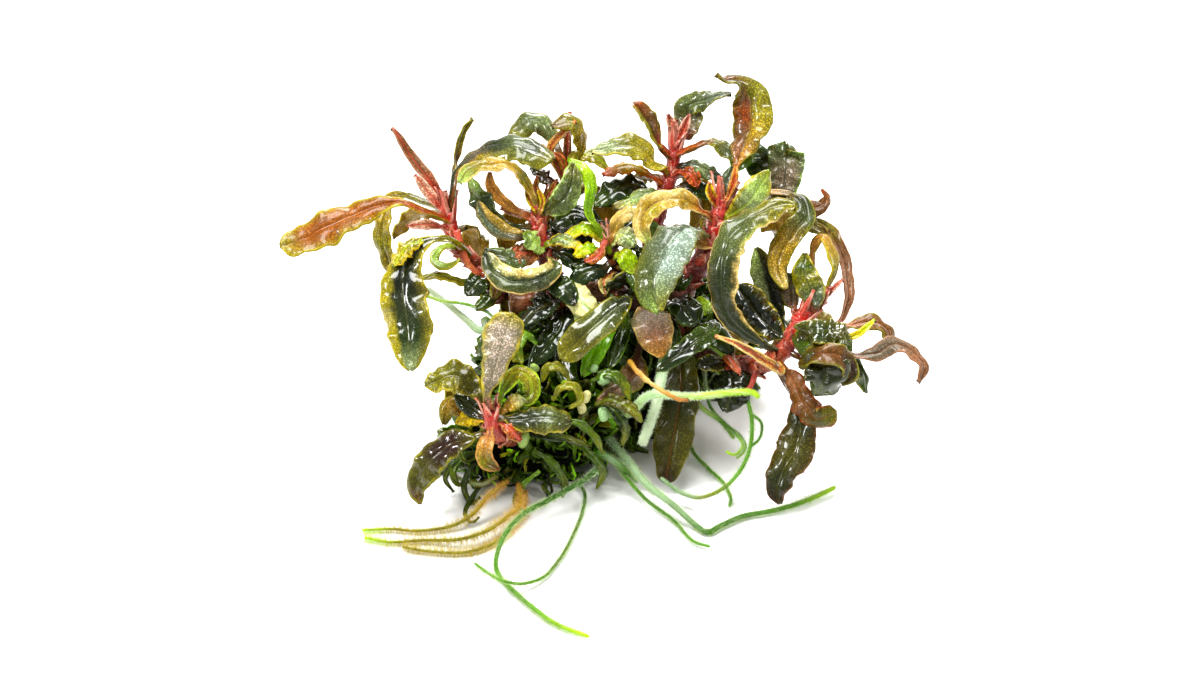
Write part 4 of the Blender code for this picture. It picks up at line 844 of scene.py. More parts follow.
LEFT_SMALL = [
    leaf(1.9, "-22.8 18 0, -25.7 23.5 -0.5, -27.8 26.2 -1, -31.2 31.4 -1.5", "red, red, pink brown, brown, "
        "brown", "bract", face=(0.5, 0.1, 0.9), rim="pink brown", under="red, brown", stalk=0.06, fold=0.9,
        waves=0.03, base=0.3, tip=0.5, stalk_width=1.5),
    leaf(1.4, "-22.5 18 -0.6, -21.8 25 -3, -20.8 30.4 -3.4, -19.1 32.8 -3", "red, wine, brown, brown, olive, "
        "yellow olive", "leaf_olive", face=(0.8, 0.1, 0.6), fold=0.7, stalk=0.5, rim="olive"),
    leaf(1.7, "-22.6 16.2 0, -25.5 16.8 1.5, -28.8 16.6 2", "red, pink, pale pink, brown", "bract",
        rim="pale pink", fold=0.7),
    leaf(1.7, "-22.8 17.8 0, -25.6 21.5 1.2, -27.8 24.4 1.6", "red, pink, pale pink, pink brown", "bract",
        rim="pale pink", fold=0.7),
    leaf(2.1, "-18 10.2 -1.5, -20.3 8.4 0.5, -23.9 9.4 2, -27.6 8.8 3", "brown, olive, olive, yellow olive",
        face=(-0.1, 0.8, 0.6)),
    leaf(1.6, "-21.2 13.4 -0.6, -23.6 13.6 1.4, -24.9 11.8 2, -23.1 10.6 2.8, -21 11.6 3.2", "olive, "
        "pale green, pale green, yellow olive", face=(0.2, 0.6, 0.7), along=20),
    leaf(3.4, "-17.2 9.4 -0.8, -18 8.8 2, -20 6.4 2.8", "brown, dark green, dark slate", "leaf_dark",
        rim="moss"),
    leaf(2.4, "-17.2 8.4 -0.6, -16.6 6.2 2.4, -18.6 4.2 3.4", "wine, dark green, moss", "leaf_dark",
        rim="olive", face=(0.2, 0.5, 0.8)),
    leaf(2.8, "-26.6 14.4 7.2, -29 13.6 8.2, -30.8 10.8 8.6", "olive, olive, yellow olive, yellow olive",
        stalk=0.05, rim="yellow", face=(-0.2, 0.6, 0.8), waves=0.3),
    leaf(0.8, "-21.6 16 0.6, -20.4 12.2 1.4, -18.8 9.8 1.4, -17.4 9.2 1", "red, orange, tan, rust", "bract",
        rim="orange", stalk=0.9, stalk_width=0.7),
    leaf(4.2, "-22 16 -0.8, -19.5 16.5 -5, -18.5 14 -9, -18 9 -11", "wine, olive, slate, olive", "leaf_slate",
        face=(0.3, 0.6, -0.6), along=30, across=8, waves=0.3, ragged=1.6),
    leaf(3.6, "-22.4 17 -1, -24.6 18.8 -6, -28 18 -10, -31 15 -12.5", "wine, brown, rust, ochre, olive",
        "leaf_brown", face=(-0.4, 0.6, -0.6), along=30, across=8, waves=0.25, fold=0.6),
]

MIDDLE_LEAVES = [
    large("leaf_middle_arch", 3.1, "-9.2 20.6 2.6, -12 24.6 5.6, -15 26.1 7.6, -19.2 25.3 8.8, -21 23.2 9.2",
        "olive, ochre, olive, ochre, ochre, olive, pale green", face=(-0.3, 0.6, 0.7),
        tip_face=(-0.2, 0.7, 0.6), stalk=0.12, rim="beige", rim_width=0.2, margin_share=0.2, waves=0.12,
        wave_count=4.0, tip=0.3, under="ochre, beige"),
    large("leaf_middle_upright", 3.9, "-7.5 18.4 2.4, -5.8 20.4 4, -4.3 23 4.6, -4.2 26 4.2", "brown, slate, "
        "slate, slate, olive", face=(0.4, 0.2, 0.9), stalk=0.1, rim="pale green", rim_width=0.25,
        under="olive", base=0.5),
    large("leaf_middle_crescent", 3.8, "-7.2 12 2.2, -6.8 10.6 5.2, -9.3 8.8 7.8, -13 8.4 8.6, -15.8 10 8, "
        "-17.2 12.6 7", "slate, slate, dark slate, slate, dark slate", finish="leaf_slate",
        face=(0.3, 0.2, 0.9), tip_face=(-0.1, 0.3, 0.9), stalk=0.1, rim="beige", waves=0.1, tip=0.4,
        other_half="slate, beige, cream, beige, cream, slate", margin_share=0.1, split=-0.3, under="slate"),
]

MIDDLE_SMALL = [
    leaf(1.0, "-9.2 19 1.4, -9.8 21.4 2.2, -9.4 24.2 2.4", "red, tan, yellow olive, ochre", "bract", fold=0.7,
        rim="tan"),
    leaf(0.9, "-9 18.6 1.8, -8.6 20.4 2.8, -9.4 22.4 3.2", "brown, yellow olive, yellow, ochre", "bract",
        fold=0.7, rim="yellow"),
    leaf(3.2, "-8.4 12.6 -0.4, -5.4 12.6 0.8, -2.6 10.8 1, -0.8 8.6 0.6", "wine, dark green, black green, "
        "dark green", "leaf_dark", rim="moss"),
    leaf(3.4, "-8.6 14.6 -0.6, -5.6 16.6 -1.6, -3.2 15.8 -2, -1.6 13.4 -2", "wine, dark slate, dark green, "
        "dark green", "leaf_dark", rim="dark green"),
    leaf(2.6, "-9.6 13 -0.4, -12.8 11.4 1.4, -15 8.6 2.6, -16 5.8 3", "wine, pink brown, brown, dark olive",
        "leaf_brown", rim="olive"),
    leaf(3.4, "-9.3 16.5 0.4, -14 16.8 2, -17 18.6 3, -19.4 24 4", "brown, dark green, slate, dark green, "
        "pale green", "leaf_dark", along=34, waves=0.35, crumple=0.9, rim="slate", face=(-0.5, 0.2, 0.8),
        stalk=0.3),
    leaf(1.8, "-9.6 17.5 0.4, -13.4 19.6 1, -16.2 22.4 1.6, -16.6 24.8 2", "pink, tan, tan, brown",
        "leaf_ochre", rim="tan", under="tan"),
    leaf(2.6, "-9.2 15.5 0.5, -11.6 15.2 3, -14.6 16 4.5, -17 17.9 5, -18.2 20.4 4.6", "wine, mauve, "
        "blue slate, slate", "leaf_slate", other_half="pink brown, beige, ochre, beige", rim="ochre",
        face=(-0.2, 0.2, 0.9), along=30, fold=0.4),
    leaf(2.9, "-8.8 13.8 0, -11.5 12.2 3, -14.5 12.2 4.5, -17.2 13 4", "brown, blue slate, slate, dark slate",
        "leaf_slate", rim="pale green"),
    leaf(3.2, "-8.6 13 0, -9.3 14 3, -11.4 15.6 4.6", "olive, pale green, pale green, moss", waves=0.3,
        rim="pale green"),
    leaf(3.4, "-9 13.6 0.6, -10.8 12.6 2.8, -13.4 12.8 3.4", "wine, rust, pink brown, orange", "bract",
        rim="tan", waves=0.3),
    leaf(2.3, "-8.6 13.4 0.5, -6 14.8 2, -2.8 13.6 2.4", "olive, slate, pale slate, yellow", rim="yellow",
        waves=0.3),
    leaf(1.1, "-9.4 18.6 1.6, -10.6 20.6 2.4, -10.9 22.8 2", "red, yellow olive, yellow olive, ochre",
        "bract", fold=0.7, rim="yellow"),
    leaf(1.0, "-8.8 18.6 1.4, -7.8 21.2 2.2, -6.6 23.4 2.6", "brown, tan, ochre", "bract", fold=0.7,
        rim="tan"),
    leaf(1.6, "-9.6 17.4 0.6, -12.4 18.8 0.4, -14.8 19.4 0.2", "pink, pale pink, pale pink", "bract",
        fold=0.5, rim="pale pink"),
    leaf(4.6, "-9 17 0.4, -11 19 -4, -13 18 -8, -14.5 13 -11", "wine, slate, olive, slate", "leaf_slate",
        along=30, across=8, face=(-0.3, 0.6, -0.6)),
]

BACK_SMALL = [
    leaf(3.6, "-4.8 23 -5, -3 27.4 -4.6, -2.8 30.6 -3.4, -4.4 32.6 -2.8, -7.2 31.6 -2.2", "brown, olive, "
        "ochre, olive, brown", "leaf_olive", face=(0.7, 0.4, 0.5), tip_face=(0.1, 0.7, 0.7), stalk=0.35,
        along=34, across=8),
    leaf(1.3, "-4.8 23 -5.2, -4.9 29 -6.4, -4.5 33.8 -6.8", "tan, pink brown, pink brown, brown", "bract",
        fold=0.8, stalk=0.1, rim="pink brown", stalk_width=1.1),
    leaf(1.3, "-5.4 23.5 -4.4, -7.4 28 -3.4, -5.4 30.8 -2.6, -3.6 32.4 -2.6", "brown, tan, ochre", "bract",
        fold=0.8, stalk=0.1, rim="tan", stalk_width=1.0),
    leaf(4.0, "-4.9 23 -5.2, -6.6 29 -7.6, -8.5 31.9 -7.6, -10.5 32.6 -7, -13.4 30.4 -6", "rust, orange, "
        "dark olive, pale slate, slate, olive", "leaf_slate", face=(-0.2, 0.6, 0.75), along=34, across=8,
        rim="olive", waves=0.25, tip=0.3, stalk=0.4),
    leaf(3.0, "-4.8 22 -5, -7.4 23.6 -3.4, -10.4 25.6 -3", "wine, dark brown, black green", "leaf_dark",
        rim="dark olive", waves=0.3, face=(0, 0.7, 0.6)),
    leaf(2.6, "-4.6 21 -5.2, -2.6 23.4 -5, -3.6 26.8 -4.8, -1 27.4 -4.6, 1.6 24.8 -4.6", "brown, mauve, "
        "yellow olive, olive, olive", face=(0.3, 0.6, 0.7), along=34),
    leaf(1.4, "-5.2 22.5 -4.4, -6.4 25.6 -3.6, -8.6 28.8 -3.4", "rust, brown, tan, ochre", "bract", fold=0.7,
        rim="tan"),
    leaf(1.2, "-5 23 -4.2, -5.8 26.6 -3, -7.4 27.6 -2.8", "orange, ochre, brown", "bract", fold=0.7,
        rim="orange"),
    leaf(5.0, "-4.6 20 -5.8, -5 21.2 -9, -6.5 17 -14, -7.5 11 -17", "brown, olive, slate, slate, olive",
        "leaf_slate", along=34, face=(-0.1, 0.7, -0.6)),
    leaf(4.8, "-4.4 21 -5.6, -1 22.5 -9, 1 19 -13.5, 1.5 13 -16", "brown, slate, blue slate, olive",
        "leaf_slate", along=34, face=(0.2, 0.7, -0.6)),
]

CENTRE_SMALL = [
    leaf(3.6, "1.4 14 0, -1.6 17.6 -2.2, -4.2 18.6 -2.6, -6.6 17 -2.4", "dark brown, dark green, "
        "black green, moss", "leaf_dark", rim="moss"),
    leaf(3.2, "1.8 13 0, 4.6 16.4 -0.8, 7.2 16.6 -1.2, 9 14.4 -1", "wine, black green, dark green, moss",
        "leaf_dark", rim="leaf green"),
    leaf(2.6, "1.6 12.6 0.6, -0.6 15.8 1.6, -3 16.4 2, -5.2 14.8 2", "moss, yellow olive, lime, yellow",
        rim="yellow", face=(0, 0.6, 0.7)),
    leaf(3.0, "2.2 11.4 0.2, 0.2 10.4 2.6, -2.4 9.6 3.4, -4.6 7.6 3.6", "wine, black green, dark green, "
        "dark green", "leaf_dark", rim="dark green"),
    leaf(2.8, "2.6 10.6 0.4, 4.6 10 2.8, 6.2 7.6 3.6, 6.4 5.2 3.8", "brown, dark green, moss, dark green",
        "leaf_dark", rim="moss"),
    leaf(2.4, "1.2 13.8 0.6, 2.8 17.6 1.8, 4.8 18.6 2, 5.8 17 2", "rust, ochre, beige, pale slate",
        "leaf_ochre", waves=0.3, rim="beige"),
    leaf(1.6, "0.8 14.4 1, -0.4 12.2 3, -2.2 11.4 3.4", "wine, rust, orange", "bract", rim="tan"),
    leaf(2.1, "0.7 14.6 0.4, -1.5 18.5 2.6, -1.3 23.2 3.2, -2.4 25.6 3, -4.6 26.5 1.6", "leaf green, "
        "leaf green, bright green, lime, bright green", face=(0.5, 0.2, 0.8), along=34, rim="lime",
        under="bright green"),
    leaf(2.6, "3.4 16.6 0.2, 0.3 17.3 -0.6, -2.7 16.8 -1, -5.3 16.2 -1.2, -7.6 17.4 -1.6", "wine, "
        "black green, black green, dark slate", "leaf_dark", face=(0, 0.8, 0.5), along=34, rim="dark green"),
    leaf(3.2, "1.4 13.6 0.2, 3.2 15.4 2, 5.2 13.8 2.8", "pale slate, cream, pale slate, slate", waves=0.3,
        rim="cream"),
    leaf(2.8, "2.2 11.8 0, 3.4 12.6 2.8, 5.4 9.6 3.2", "leaf green, yellow olive, lime, olive", rim="lime"),
    leaf(2.2, "0.8 12.6 0.4, -1.6 13.4 2.4, -3.8 12.2 3", "moss, bright green, lime, yellow", waves=0.4,
        rim="yellow"),
    leaf(1.8, "2.2 9.8 0, 0.6 8.6 2.6, 0.8 6.4 3.2", "pink brown, tan, beige, mint", "bract", fold=0.6,
        rim="beige"),
    leaf(3.4, "4.6 13.6 -1, 6.4 12.6 0.4, 6.6 9.4 1.2", "dark green, dark green, moss", "leaf_dark",
        rim="moss"),
]

TOP_LEAVES = [
    large("leaf_top_folded", 3.2, "9.3 26.8 -4.4, 8.4 29.4 -4.2, 7.1 32.4 -4.5, 5.1 35 -5", "red, red, "
        "olive, olive, olive, rust", face=(0.7, 0.3, 0.7), stalk=0.25, fold=0.9, waves=0.06,
        other_half="red, red, brown, brown, rust", rim="olive", under="brown", tip=0.3),
    large("leaf_top_slate", 4.8, "12.6 30.2 -7, 13.2 32.5 -7, 13.2 34.6 -6.6, 15.3 35.5 -5.8, 18 36.3 -5.2, "
        "19.7 36.5 -5", "pink, mauve, slate, slate, blue slate, dark slate", faces=[(-0.5, -0.2, 0.85),
        (-0.5, 0.2, 0.85), (-0.1, 0.6, 0.75)], stalk=0.04, waves=0.2, rim="olive", rim_width=0.2,
        under="olive", base=0.2, tip=0.9),
    large("leaf_top_yellow", 5.4, "9.1 24.6 -3.7, 8.2 26.4 -2.2, 6.4 28.2 -0.6, 3.6 28.9 0.4, -1.2 27.8 1.2",
        "dark olive, olive, yellow olive, yellow olive, olive, pale slate, pale slate", ragged=0.5,
        face=(-0.4, 0.6, 0.6), tip_face=(-0.1, 0.7, 0.7), stalk=0.1, waves=0.1, tip=0.7, rim_width=0.3,
        crumple=0.15, under="orange, ochre"),
]

TOP_SMALL = [
    leaf(1.6, "11.3 28.6 -5.2, 11 31 -5, 10.2 33.4 -4.6", "red, pink, pale pink, brown", "bract", fold=0.8,
        rim="pale pink"),
    leaf(1.4, "11.2 28.6 -5, 12.6 31.2 -4, 13.4 33.4 -3.6", "red, pink, mauve", "bract", fold=0.8,
        rim="pale pink"),
    leaf(2.9, "11.6 27.4 -4, 14.4 28.6 -3, 16.8 29.4 -2.6, 18.6 28.6 -2, 20.4 26.4 -1.6", "red, orange, "
        "rust, olive, slate, slate", "leaf_slate", along=30, stalk=0.45, rim="olive", face=(0, 0.7, 0.6)),
    leaf(2.9, "10.9 25 -5.8, 13.5 26 -4.6, 16.2 25 -4.2, 19 22.8 -4.2", "wine, dark slate, pale slate, "
        "dark slate, slate", "leaf_slate", rim="slate", face=(0.1, 0.6, 0.7), along=30),
    leaf(2.6, "10.2 21.6 -6, 13.5 22.8 -5, 17.4 21 -4.4", "wine, dark green, dark green", "leaf_dark",
        rim="moss"),
    leaf(3.0, "10 22.4 -6, 6.4 25.2 -4.4, 3.2 25.6 -3.4, 0.4 24.4 -3", "orange, orange, yellow, ochre, pink",
        "leaf_ochre", waves=0.2, wave_count=4.0, rim="orange", face=(0, 0.8, 0.5)),
    leaf(4.2, "9.4 20.2 -6, 5.6 22.9 -3, 2.3 22.1 -1.8, -1 19.8 -1.4", "dark olive, dark green, black green, "
        "dark green, moss", "leaf_dark", face=(0, 0.5, 0.8), along=34, waves=0.2, rim="moss"),
    leaf(2.4, "9.2 19.8 -6, 8.2 22 -2.4, 5 20.8 -0.8, 2 19.6 -0.6", "pink, pale green, pale slate, "
        "pale green, ochre", "leaf_slate", face=(0, 0.6, 0.75), rim="cream"),
    leaf(2.2, "11.6 24.6 -5.2, 13.4 24.6 -4, 14.6 22.6 -3.6", "red, orange, orange, rust", "bract", fold=0.7,
        rim="orange"),
    leaf(5.0, "11 24 -6.4, 13 24 -10.5, 15.5 20 -15, 14.6 13 -17", "wine, olive, dark slate, slate, moss",
        "leaf_slate", along=34, face=(0.3, 0.7, -0.5), waves=0.28, fold=0.7, ragged=1.5),
    leaf(4.4, "10.4 23 -6.6, 7.5 24.5 -11, 3.5 22.5 -15.5, 0.6 17 -17.5", "wine, rust, olive, ochre, "
        "yellow olive", "leaf_olive", along=34, face=(-0.3, 0.6, -0.6), waves=0.22, wave_count=4.0),
]

UPPER_RIGHT_LEAVES = [
    large("leaf_upper_right_tall", 5.9, "19.6 22.6 2.4, 21.2 27.6 2, 22.6 31.6 1.2, 22.7 35.4 0.8, "
        "21 38.2 1.6, 18.8 38.6 3, 17.4 39.4 4", "wine, rust, pink brown, brown, rust, brown, dark olive, "
        "brown", face=(-0.5, 0.1, 0.85), tip_face=(0.1, 0.8, 0.5), stalk=0.22, waves=0.2, rim="olive",
        other_half="wine, rust, tan, ochre, yellow olive, olive, brown, rust", rim_width=0.3, under="rust, "
        "orange, orange", tip=0.75),
    large("leaf_upper_right_frilly", 5.6, "20.2 20.2 1.8, 23 19.6 0.6, 26.3 20.4 -0.6, 27.7 23.2 -1.4, "
        "27.9 27.6 -2", "rust, rust, slate, mauve, mauve, mauve, slate", stalk=0.42, waves=0.2,
        wave_count=4.0, tip=0.1, base=0.4, crumple=0.6, jag=2.6, ragged=1.4, rim_width=0.3, rim="leaf green"),
    large("leaf_upper_right_pale", 4.3, "19.9 17.4 4.6, 21.8 19.8 6.4, 24 22.7 7, 25.2 24.8 6.6", "olive, "
        "olive, pale slate, pale green, olive", face=(0.4, 0.2, 0.9), stalk=0.1, rim_width=0.45, fold=0.15,
        under="olive"),
    large("leaf_upper_right_hanging", 3.7, "20.2 18.6 3.2, 25 21.5 3.4, 29.6 20.9 4.6, 30.8 18.4 6, "
        "28.8 15.8 7, 27.2 13.2 7.6, 26.7 10.3 8, 27.8 7.3 8", "pink, pink brown, tan, dark slate, slate, "
        "ochre, ochre, beige", face=(0, 0.8, 0.6), tip_face=(0.1, 0.1, 0.98), stalk=0.38, rim="olive",
        under="beige"),
    large("leaf_upper_right_ochre", 3.6, "15.9 17.4 4.2, 14.4 19.6 5.6, 12.3 20.8 6.8, 9.2 20.6 7.6, "
        "6.9 18.9 8, 6.2 16.4 8, 7.4 14 7.6", "wine, rust, ochre, ochre, yellow olive, ochre, pale green",
        face=(0.3, 0.6, 0.7), tip_face=(-0.4, 0.2, 0.9), stalk=0.12, waves=0.2, rim="beige",
        other_half="wine, rust, ochre, beige, ochre, beige, pale green", under="beige", rim_width=0.2),
    # One half of this leaf carries a painted sheen along the middle of its length.
    large("leaf_upper_right_broad", 7.0, "14.9 14.8 4.6, 14 16.4 6.6, 12.2 16 8.6, 10 13.4 10, 8.5 10 10.6, "
        "8 6.6 10.8, 8.9 3.8 10.6", "dark slate, pale slate, sheen, sheen, sheen, pale slate, olive",
        face=(0, 0.8, 0.6), tip_face=(-0.2, 0.2, 0.95), stalk=0.14, fold=0.12, other_half="dark slate, "
        "slate, blue slate, blue slate, slate, slate, pale green", rim="olive", rim_width=0.25, waves=0.12,
        under="pale green"),
]

UPPER_RIGHT_SMALL = [
    leaf(4.6, "30.4 -2.6 11, 31.2 0.2 13.4, 33.6 1.1 14.6, 36.2 0.4 14.4, 37.4 -2 13.6", "dark green, "
        "dark olive, dark green, dark olive, moss", "leaf_dark", along=40, across=14, waves=0.5, crumple=1.2,
        stalk=0.05, curl=(-0.5, -0.3), base=0.4, rim="olive"),
    leaf(3.4, "30.2 -4.2 12, 31.6 -2.8 15.6, 34 -2.4 17.2, 36.4 -3.2 16.6, 37.6 -5.4 15.4, 36.4 -7 14.6",
        "dark olive, dark olive, brown, brown, dark brown, dark olive", "leaf_brown", face=(0, 0.2, 0.95),
        along=40, across=12, waves=0.4, crumple=0.8, stalk=0.05, curl=(-0.6, 0.5), rim="olive",
        margin_share=0.3),
    leaf(2.0, "18.2 19.6 3, 18.6 22.4 4, 20 25.6 4.4", "red, mauve, blue slate, slate", "leaf_slate",
        rim="moss"),
    leaf(1.5, "18 19 3, 16.6 21.4 4.4, 16.4 23.2 5", "red, orange, yellow", "bract", fold=0.8, rim="yellow"),
    leaf(5.0, "18.4 20.4 2.6, 20.4 25.4 -0.8, 21.8 28.2 -2, 24 27.2 -2.6, 25.4 23.6 -2.8", "rust, orange, "
        "moss, leaf green, dark green, moss", "leaf_dark", face=(0.1, 0.6, 0.7), along=34, across=12,
        rim="leaf green", waves=0.3, crumple=1.1, stalk=0.35, tip=0.25),
    leaf(1.2, "18.6 19.6 3.6, 20 23 4.6, 20.4 26 4.6", "red, tan, orange, yellow", "bract", fold=0.8,
        rim="tan"),
    leaf(1.8, "17.4 13.4 2.4, 15.4 14 3.6, 13.4 14.8 3.8", "tan, tan, beige", "leaf_ochre", fold=0.5,
        rim="beige"),
    leaf(2.6, "29.2 20.4 3.4, 31 19.6 3.4, 33 19.6 3, 34 21 2.6, 33.2 22.2 2.4", "tan, pink brown, brown, "
        "brown, rust", "leaf_brown", rim="brown", under="pink brown", base=0.5, tip=1.3),
    leaf(2.2, "26 21.6 3.4, 29 19.4 4, 32 16.8 3.4, 34.4 15.8 2.8", "slate, olive, olive, brown",
        "leaf_olive", rim="olive"),
    leaf(5.4, "18 18.5 2.2, 22 19.5 -3, 26 17.6 -8, 28.4 12.6 -11", "wine, slate, blue slate, olive",
        "leaf_slate", along=34, face=(0.4, 0.6, -0.6), waves=0.3, ragged=1.6, fold=0.6),
    leaf(3.8, "17 16 1.8, 17.5 18.5 -4, 16.6 17 -9, 15 12 -12", "wine, brown, olive, dark olive",
        "leaf_olive", along=34, face=(-0.1, 0.7, -0.6), waves=0.25),
]

RIGHT_LEAVES = [
    large("leaf_right_long_arch", 4.8, "25.2 -1.4 8, 23.4 -0.4 9.2, 20.6 1.7 10.4, 18.8 4.2 11.2, "
        "18.2 8 11.6, 18.5 12 11.6, 20 15.6 11.2, 23.1 18.2 10.6, 27.1 20 9.6, 29.4 19.9 9", "dark slate, "
        "dark slate, dark slate, dark slate, dark slate, slate, slate, olive, olive", finish="leaf_slate",
        face=(-0.6, -0.1, 0.8), tip_face=(0, 0.7, 0.7), stalk=0.1, waves=0.14, wave_count=5.0, tip=0.4,
        fold=0.2, other_half="slate, slate, beige, beige, beige, pale green, yellow olive, olive",
        split=-0.78, rim="beige", margin_share=0.15, ragged=1.6, under="beige, beige"),
    large("leaf_right_black", 5.2, "26 0.6 7, 24.6 2.4 7.2, 22.8 4.4 7.4, 20.5 7.6 7.6", "dark slate, "
        "black green, black green, dark green", face=(-0.2, 0.4, 0.9), stalk=0.05, rim_width=0.25, tip=0.35,
        base=0.5),
    large("leaf_right_folded", 4.6, "27.3 1.8 4.9, 26 5 4.4, 24.8 9 4.2, 23.6 13.4 4", "olive, pale slate, "
        "pale slate, pale green", face=(-0.5, 0.1, 0.85), stalk=0.15, rim="olive", other_half="dark green, "
        "black green, black green, dark olive"),
    large("leaf_right_purple", 4.4, "32.9 3.4 9, 32.6 5.2 9.2, 31.3 7.8 9, 30.6 10 8.6, 30.8 12.6 8.2",
        "pink, blue slate, slate, olive, moss, olive", face=(-0.2, 0, 0.98), stalk=0.18, rim_width=0.3,
        under="olive", tip=0.8, fold=0.1),
    large("leaf_right_pink", 2.6, "31.7 1.8 5.6, 35.2 1.9 5.6, 36.8 4.8 5, 37 8 4.4, 36.5 11 3.4, "
        "35.2 14.4 2.4, 33.2 17 2, 30.5 16.9 2.2", "red, pink, pink brown, pink brown, pink brown, brown, "
        "olive, olive", face=(0.9, 0.2, 0.3), tip_face=(0.1, 0.8, 0.5), stalk=0.2, fold=0.9, rim="pink brown",
        waves=0.06, under="pink brown, pink brown, brown, olive"),
    large("leaf_far_right_upper", 3.2, "31.2 -0.4 7.6, 34.5 0.8 8.4, 38 1.9 8.6, 41 2.3 8.8, 43.2 0.9 9.2, "
        "43.4 -1.4 9.6, 42.6 -2.9 9.6", "red, red, pink, pink brown, brown, brown, brown",
        face=(-0.1, 0.8, 0.5), tip_face=(0.8, 0.1, 0.5), stalk=0.42, rim="olive", rim_width=0.25,
        under="pink brown, brown"),
    # The mauve along the middle of this leaf is partly its own colour and partly a painted sheen.
    large("leaf_far_right_lower", 3.0, "30.6 -2 8.9, 35 -2.4 11, 40.7 -2.6 12.2, 43.8 -1.1 12.6, "
        "46.2 -1.6 12.6, 48.4 -4 12.8, 47.7 -6.7 12.8", "red, wine, brown, mauve, mauve, pink brown, brown",
        face=(0, 0.8, 0.5), tip_face=(0.8, 0.1, 0.5), stalk=0.4, rim="pink brown", rim_width=0.25,
        under="brown"),
    large("leaf_right_ball", 6.6, "29.9 -1.2 10.2, 31.2 0.3 12, 33 0.6 13.6, 34 -1.6 15.4, 34 -4.8 16.4, "
        "33.2 -7.4 15.8, 32.2 -8.4 14.4", "wine, moss, moss, dark olive, dark olive, dark slate, "
        "dark slate, slate", face=(0, 0.9, 0.3), tip_face=(-0.1, -0.4, 0.9), stalk=0.1, fold=0,
        curl=(-0.45, -0.5), rim="dark olive", crumple=1.1, under="dark olive", waves=0.3, tip=0.3,
        base=0.5),
    large("leaf_right_scalloped", 5.8, "27.2 -5.2 5.4, 29 -8.6 6.8, 30 -11.6 8, 30 -14 8.8, 29.2 -17 9.4, "
        "27.4 -20 9.4, 26.5 -22.9 9, 27 -24.8 8.6", "wine, brown, dark olive, dark slate, dark olive, "
        "dark olive, dark slate, dark brown", finish="leaf_olive", face=(-0.3, 0.1, 0.95), waves=0.12,
        ragged=2.0, rim="brown", under="brown", tip=0.6, base=0.45),
]

RIGHT_SMALL = [
    leaf(1.8, "31 3.6 7.4, 31.4 7 6.6, 30.9 9.4 6.2", "red, orange, pink, brown", "bract", fold=0.7,
        rim="pink"),
    leaf(3.0, "29.6 1.6 6.4, 28.9 5.2 5.4, 28.4 9.6 5", "pink, pink, mauve, mauve, slate", "leaf_slate",
        face=(0.2, 0.1, 0.9), rim="olive", stalk=0.35, fold=0.1),
    leaf(2.3, "31 4 7, 31.8 9 4.8, 32 13.4 4.6, 33.6 15.2 5.4, 35.1 12.4 6.2, 35.2 9.4 6.2, 33.8 6.8 6.2",
        "red, slate, pink brown, tan, ochre, olive, yellow olive", "leaf_ochre", face=(-0.8, 0.1, 0.4),
        tip_face=(1, 0.6, 0.3), along=40, stalk=0.4),
    leaf(1.1, "30.8 3.4 6.6, 33.4 5.6 6.6, 36.4 8.6 6.4", "pink, pink, red, pale pink", "bract",
        face=(0, 0.7, 0.6), fold=0.8, rim="pale pink"),
    leaf(1.1, "30.8 2.4 7, 33 4.6 7.6, 34.4 7.4 7.4", "red, pink, pale pink, pink", "bract",
        face=(0, 0.7, 0.6), fold=0.8, rim="pale pink"),
    leaf(1.1, "29.8 0.8 7.4, 35.4 -0.2 12, 38.6 0.4 12, 41.2 2.6 11.6", "red, rust, yellow olive, yellow, "
        "lime", fold=0.7, rim="yellow", stalk=0.5),
    leaf(3.6, "28 -2 6, 32 -3.8 8, 36.4 -4.2 9.2, 39.4 -5 9.4, 39.8 -8.2 8.8", "wine, wine, dark green, "
        "dark green, moss", "leaf_dark", face=(0.1, 0.8, 0.5), tip_face=(0.8, 0.1, 0.6), along=34, waves=0.3,
        rim="olive"),
    leaf(4.2, "26.5 -3 5.4, 28.8 -6.2 9.4, 30.6 -10 11.8, 32.4 -12.2 12.4, 35.4 -11.2 13", "rust, brown, "
        "pink brown, brown, brown, dark olive, olive", "leaf_brown", face=(-0.3, -0.3, 0.9), along=34,
        rim="rust", tip=0.3, waves=0.25, ragged=2.0),
    leaf(1.6, "26 -3.4 5, 27 -5 9.6, 25.4 -4 12.6, 21.5 -1.5 14.2, 17.3 0.2 14.6", "pink brown, tan, tan, "
        "pink brown, beige", "bract", face=(0, 0.3, 0.9), stalk=0.0, along=34, rim="beige", fold=0.8,
        stalk_width=1.3, base=0.3),
    leaf(0.5, "22.2 -3.2 2.6, 23.2 -5 4.4, 22.6 -7.4 5, 20.6 -8.6 5", "wine, dark brown, wine, dark wine",
        "bract", stalk=0.9, rim="wine", stalk_width=0.45),
    leaf(3.0, "19.5 -3.6 0, 17.4 -3.6 4, 14.6 -4.2 6.4", "wine, dark slate, black green", "leaf_dark",
        rim="olive"),
    leaf(1.7, "19.6 -3.4 0.2, 19.4 -3 5.4, 21 -5.4 8.6", "wine, rust, pink brown", "bract", stalk=0.0,
        rim="rust"),
    leaf(5.2, "22 -4.4 2, 20.8 -6 4.4, 19.6 -8.6 5.2, 18.8 -11 5", "black green, dark slate, black green, "
        "dark slate", "leaf_dark", along=30, face=(-0.1, 0.2, 0.95), stalk=0.05, rim="dark slate"),
    leaf(5.0, "25.5 -3 3.8, 28 2 -1, 31.5 4.5 -6, 34 1.5 -10", "wine, slate, olive, dark slate", "leaf_slate",
        along=30, face=(0.3, 0.6, -0.6), waves=0.3, ragged=1.5),
    leaf(4.6, "22 -3.4 1.4, 21 1 -4, 20.4 1 -8, 20.2 -2.5 -11.5", "wine, brown, olive, olive", "leaf_olive",
        along=30, face=(0, 0.6, -0.6)),
]

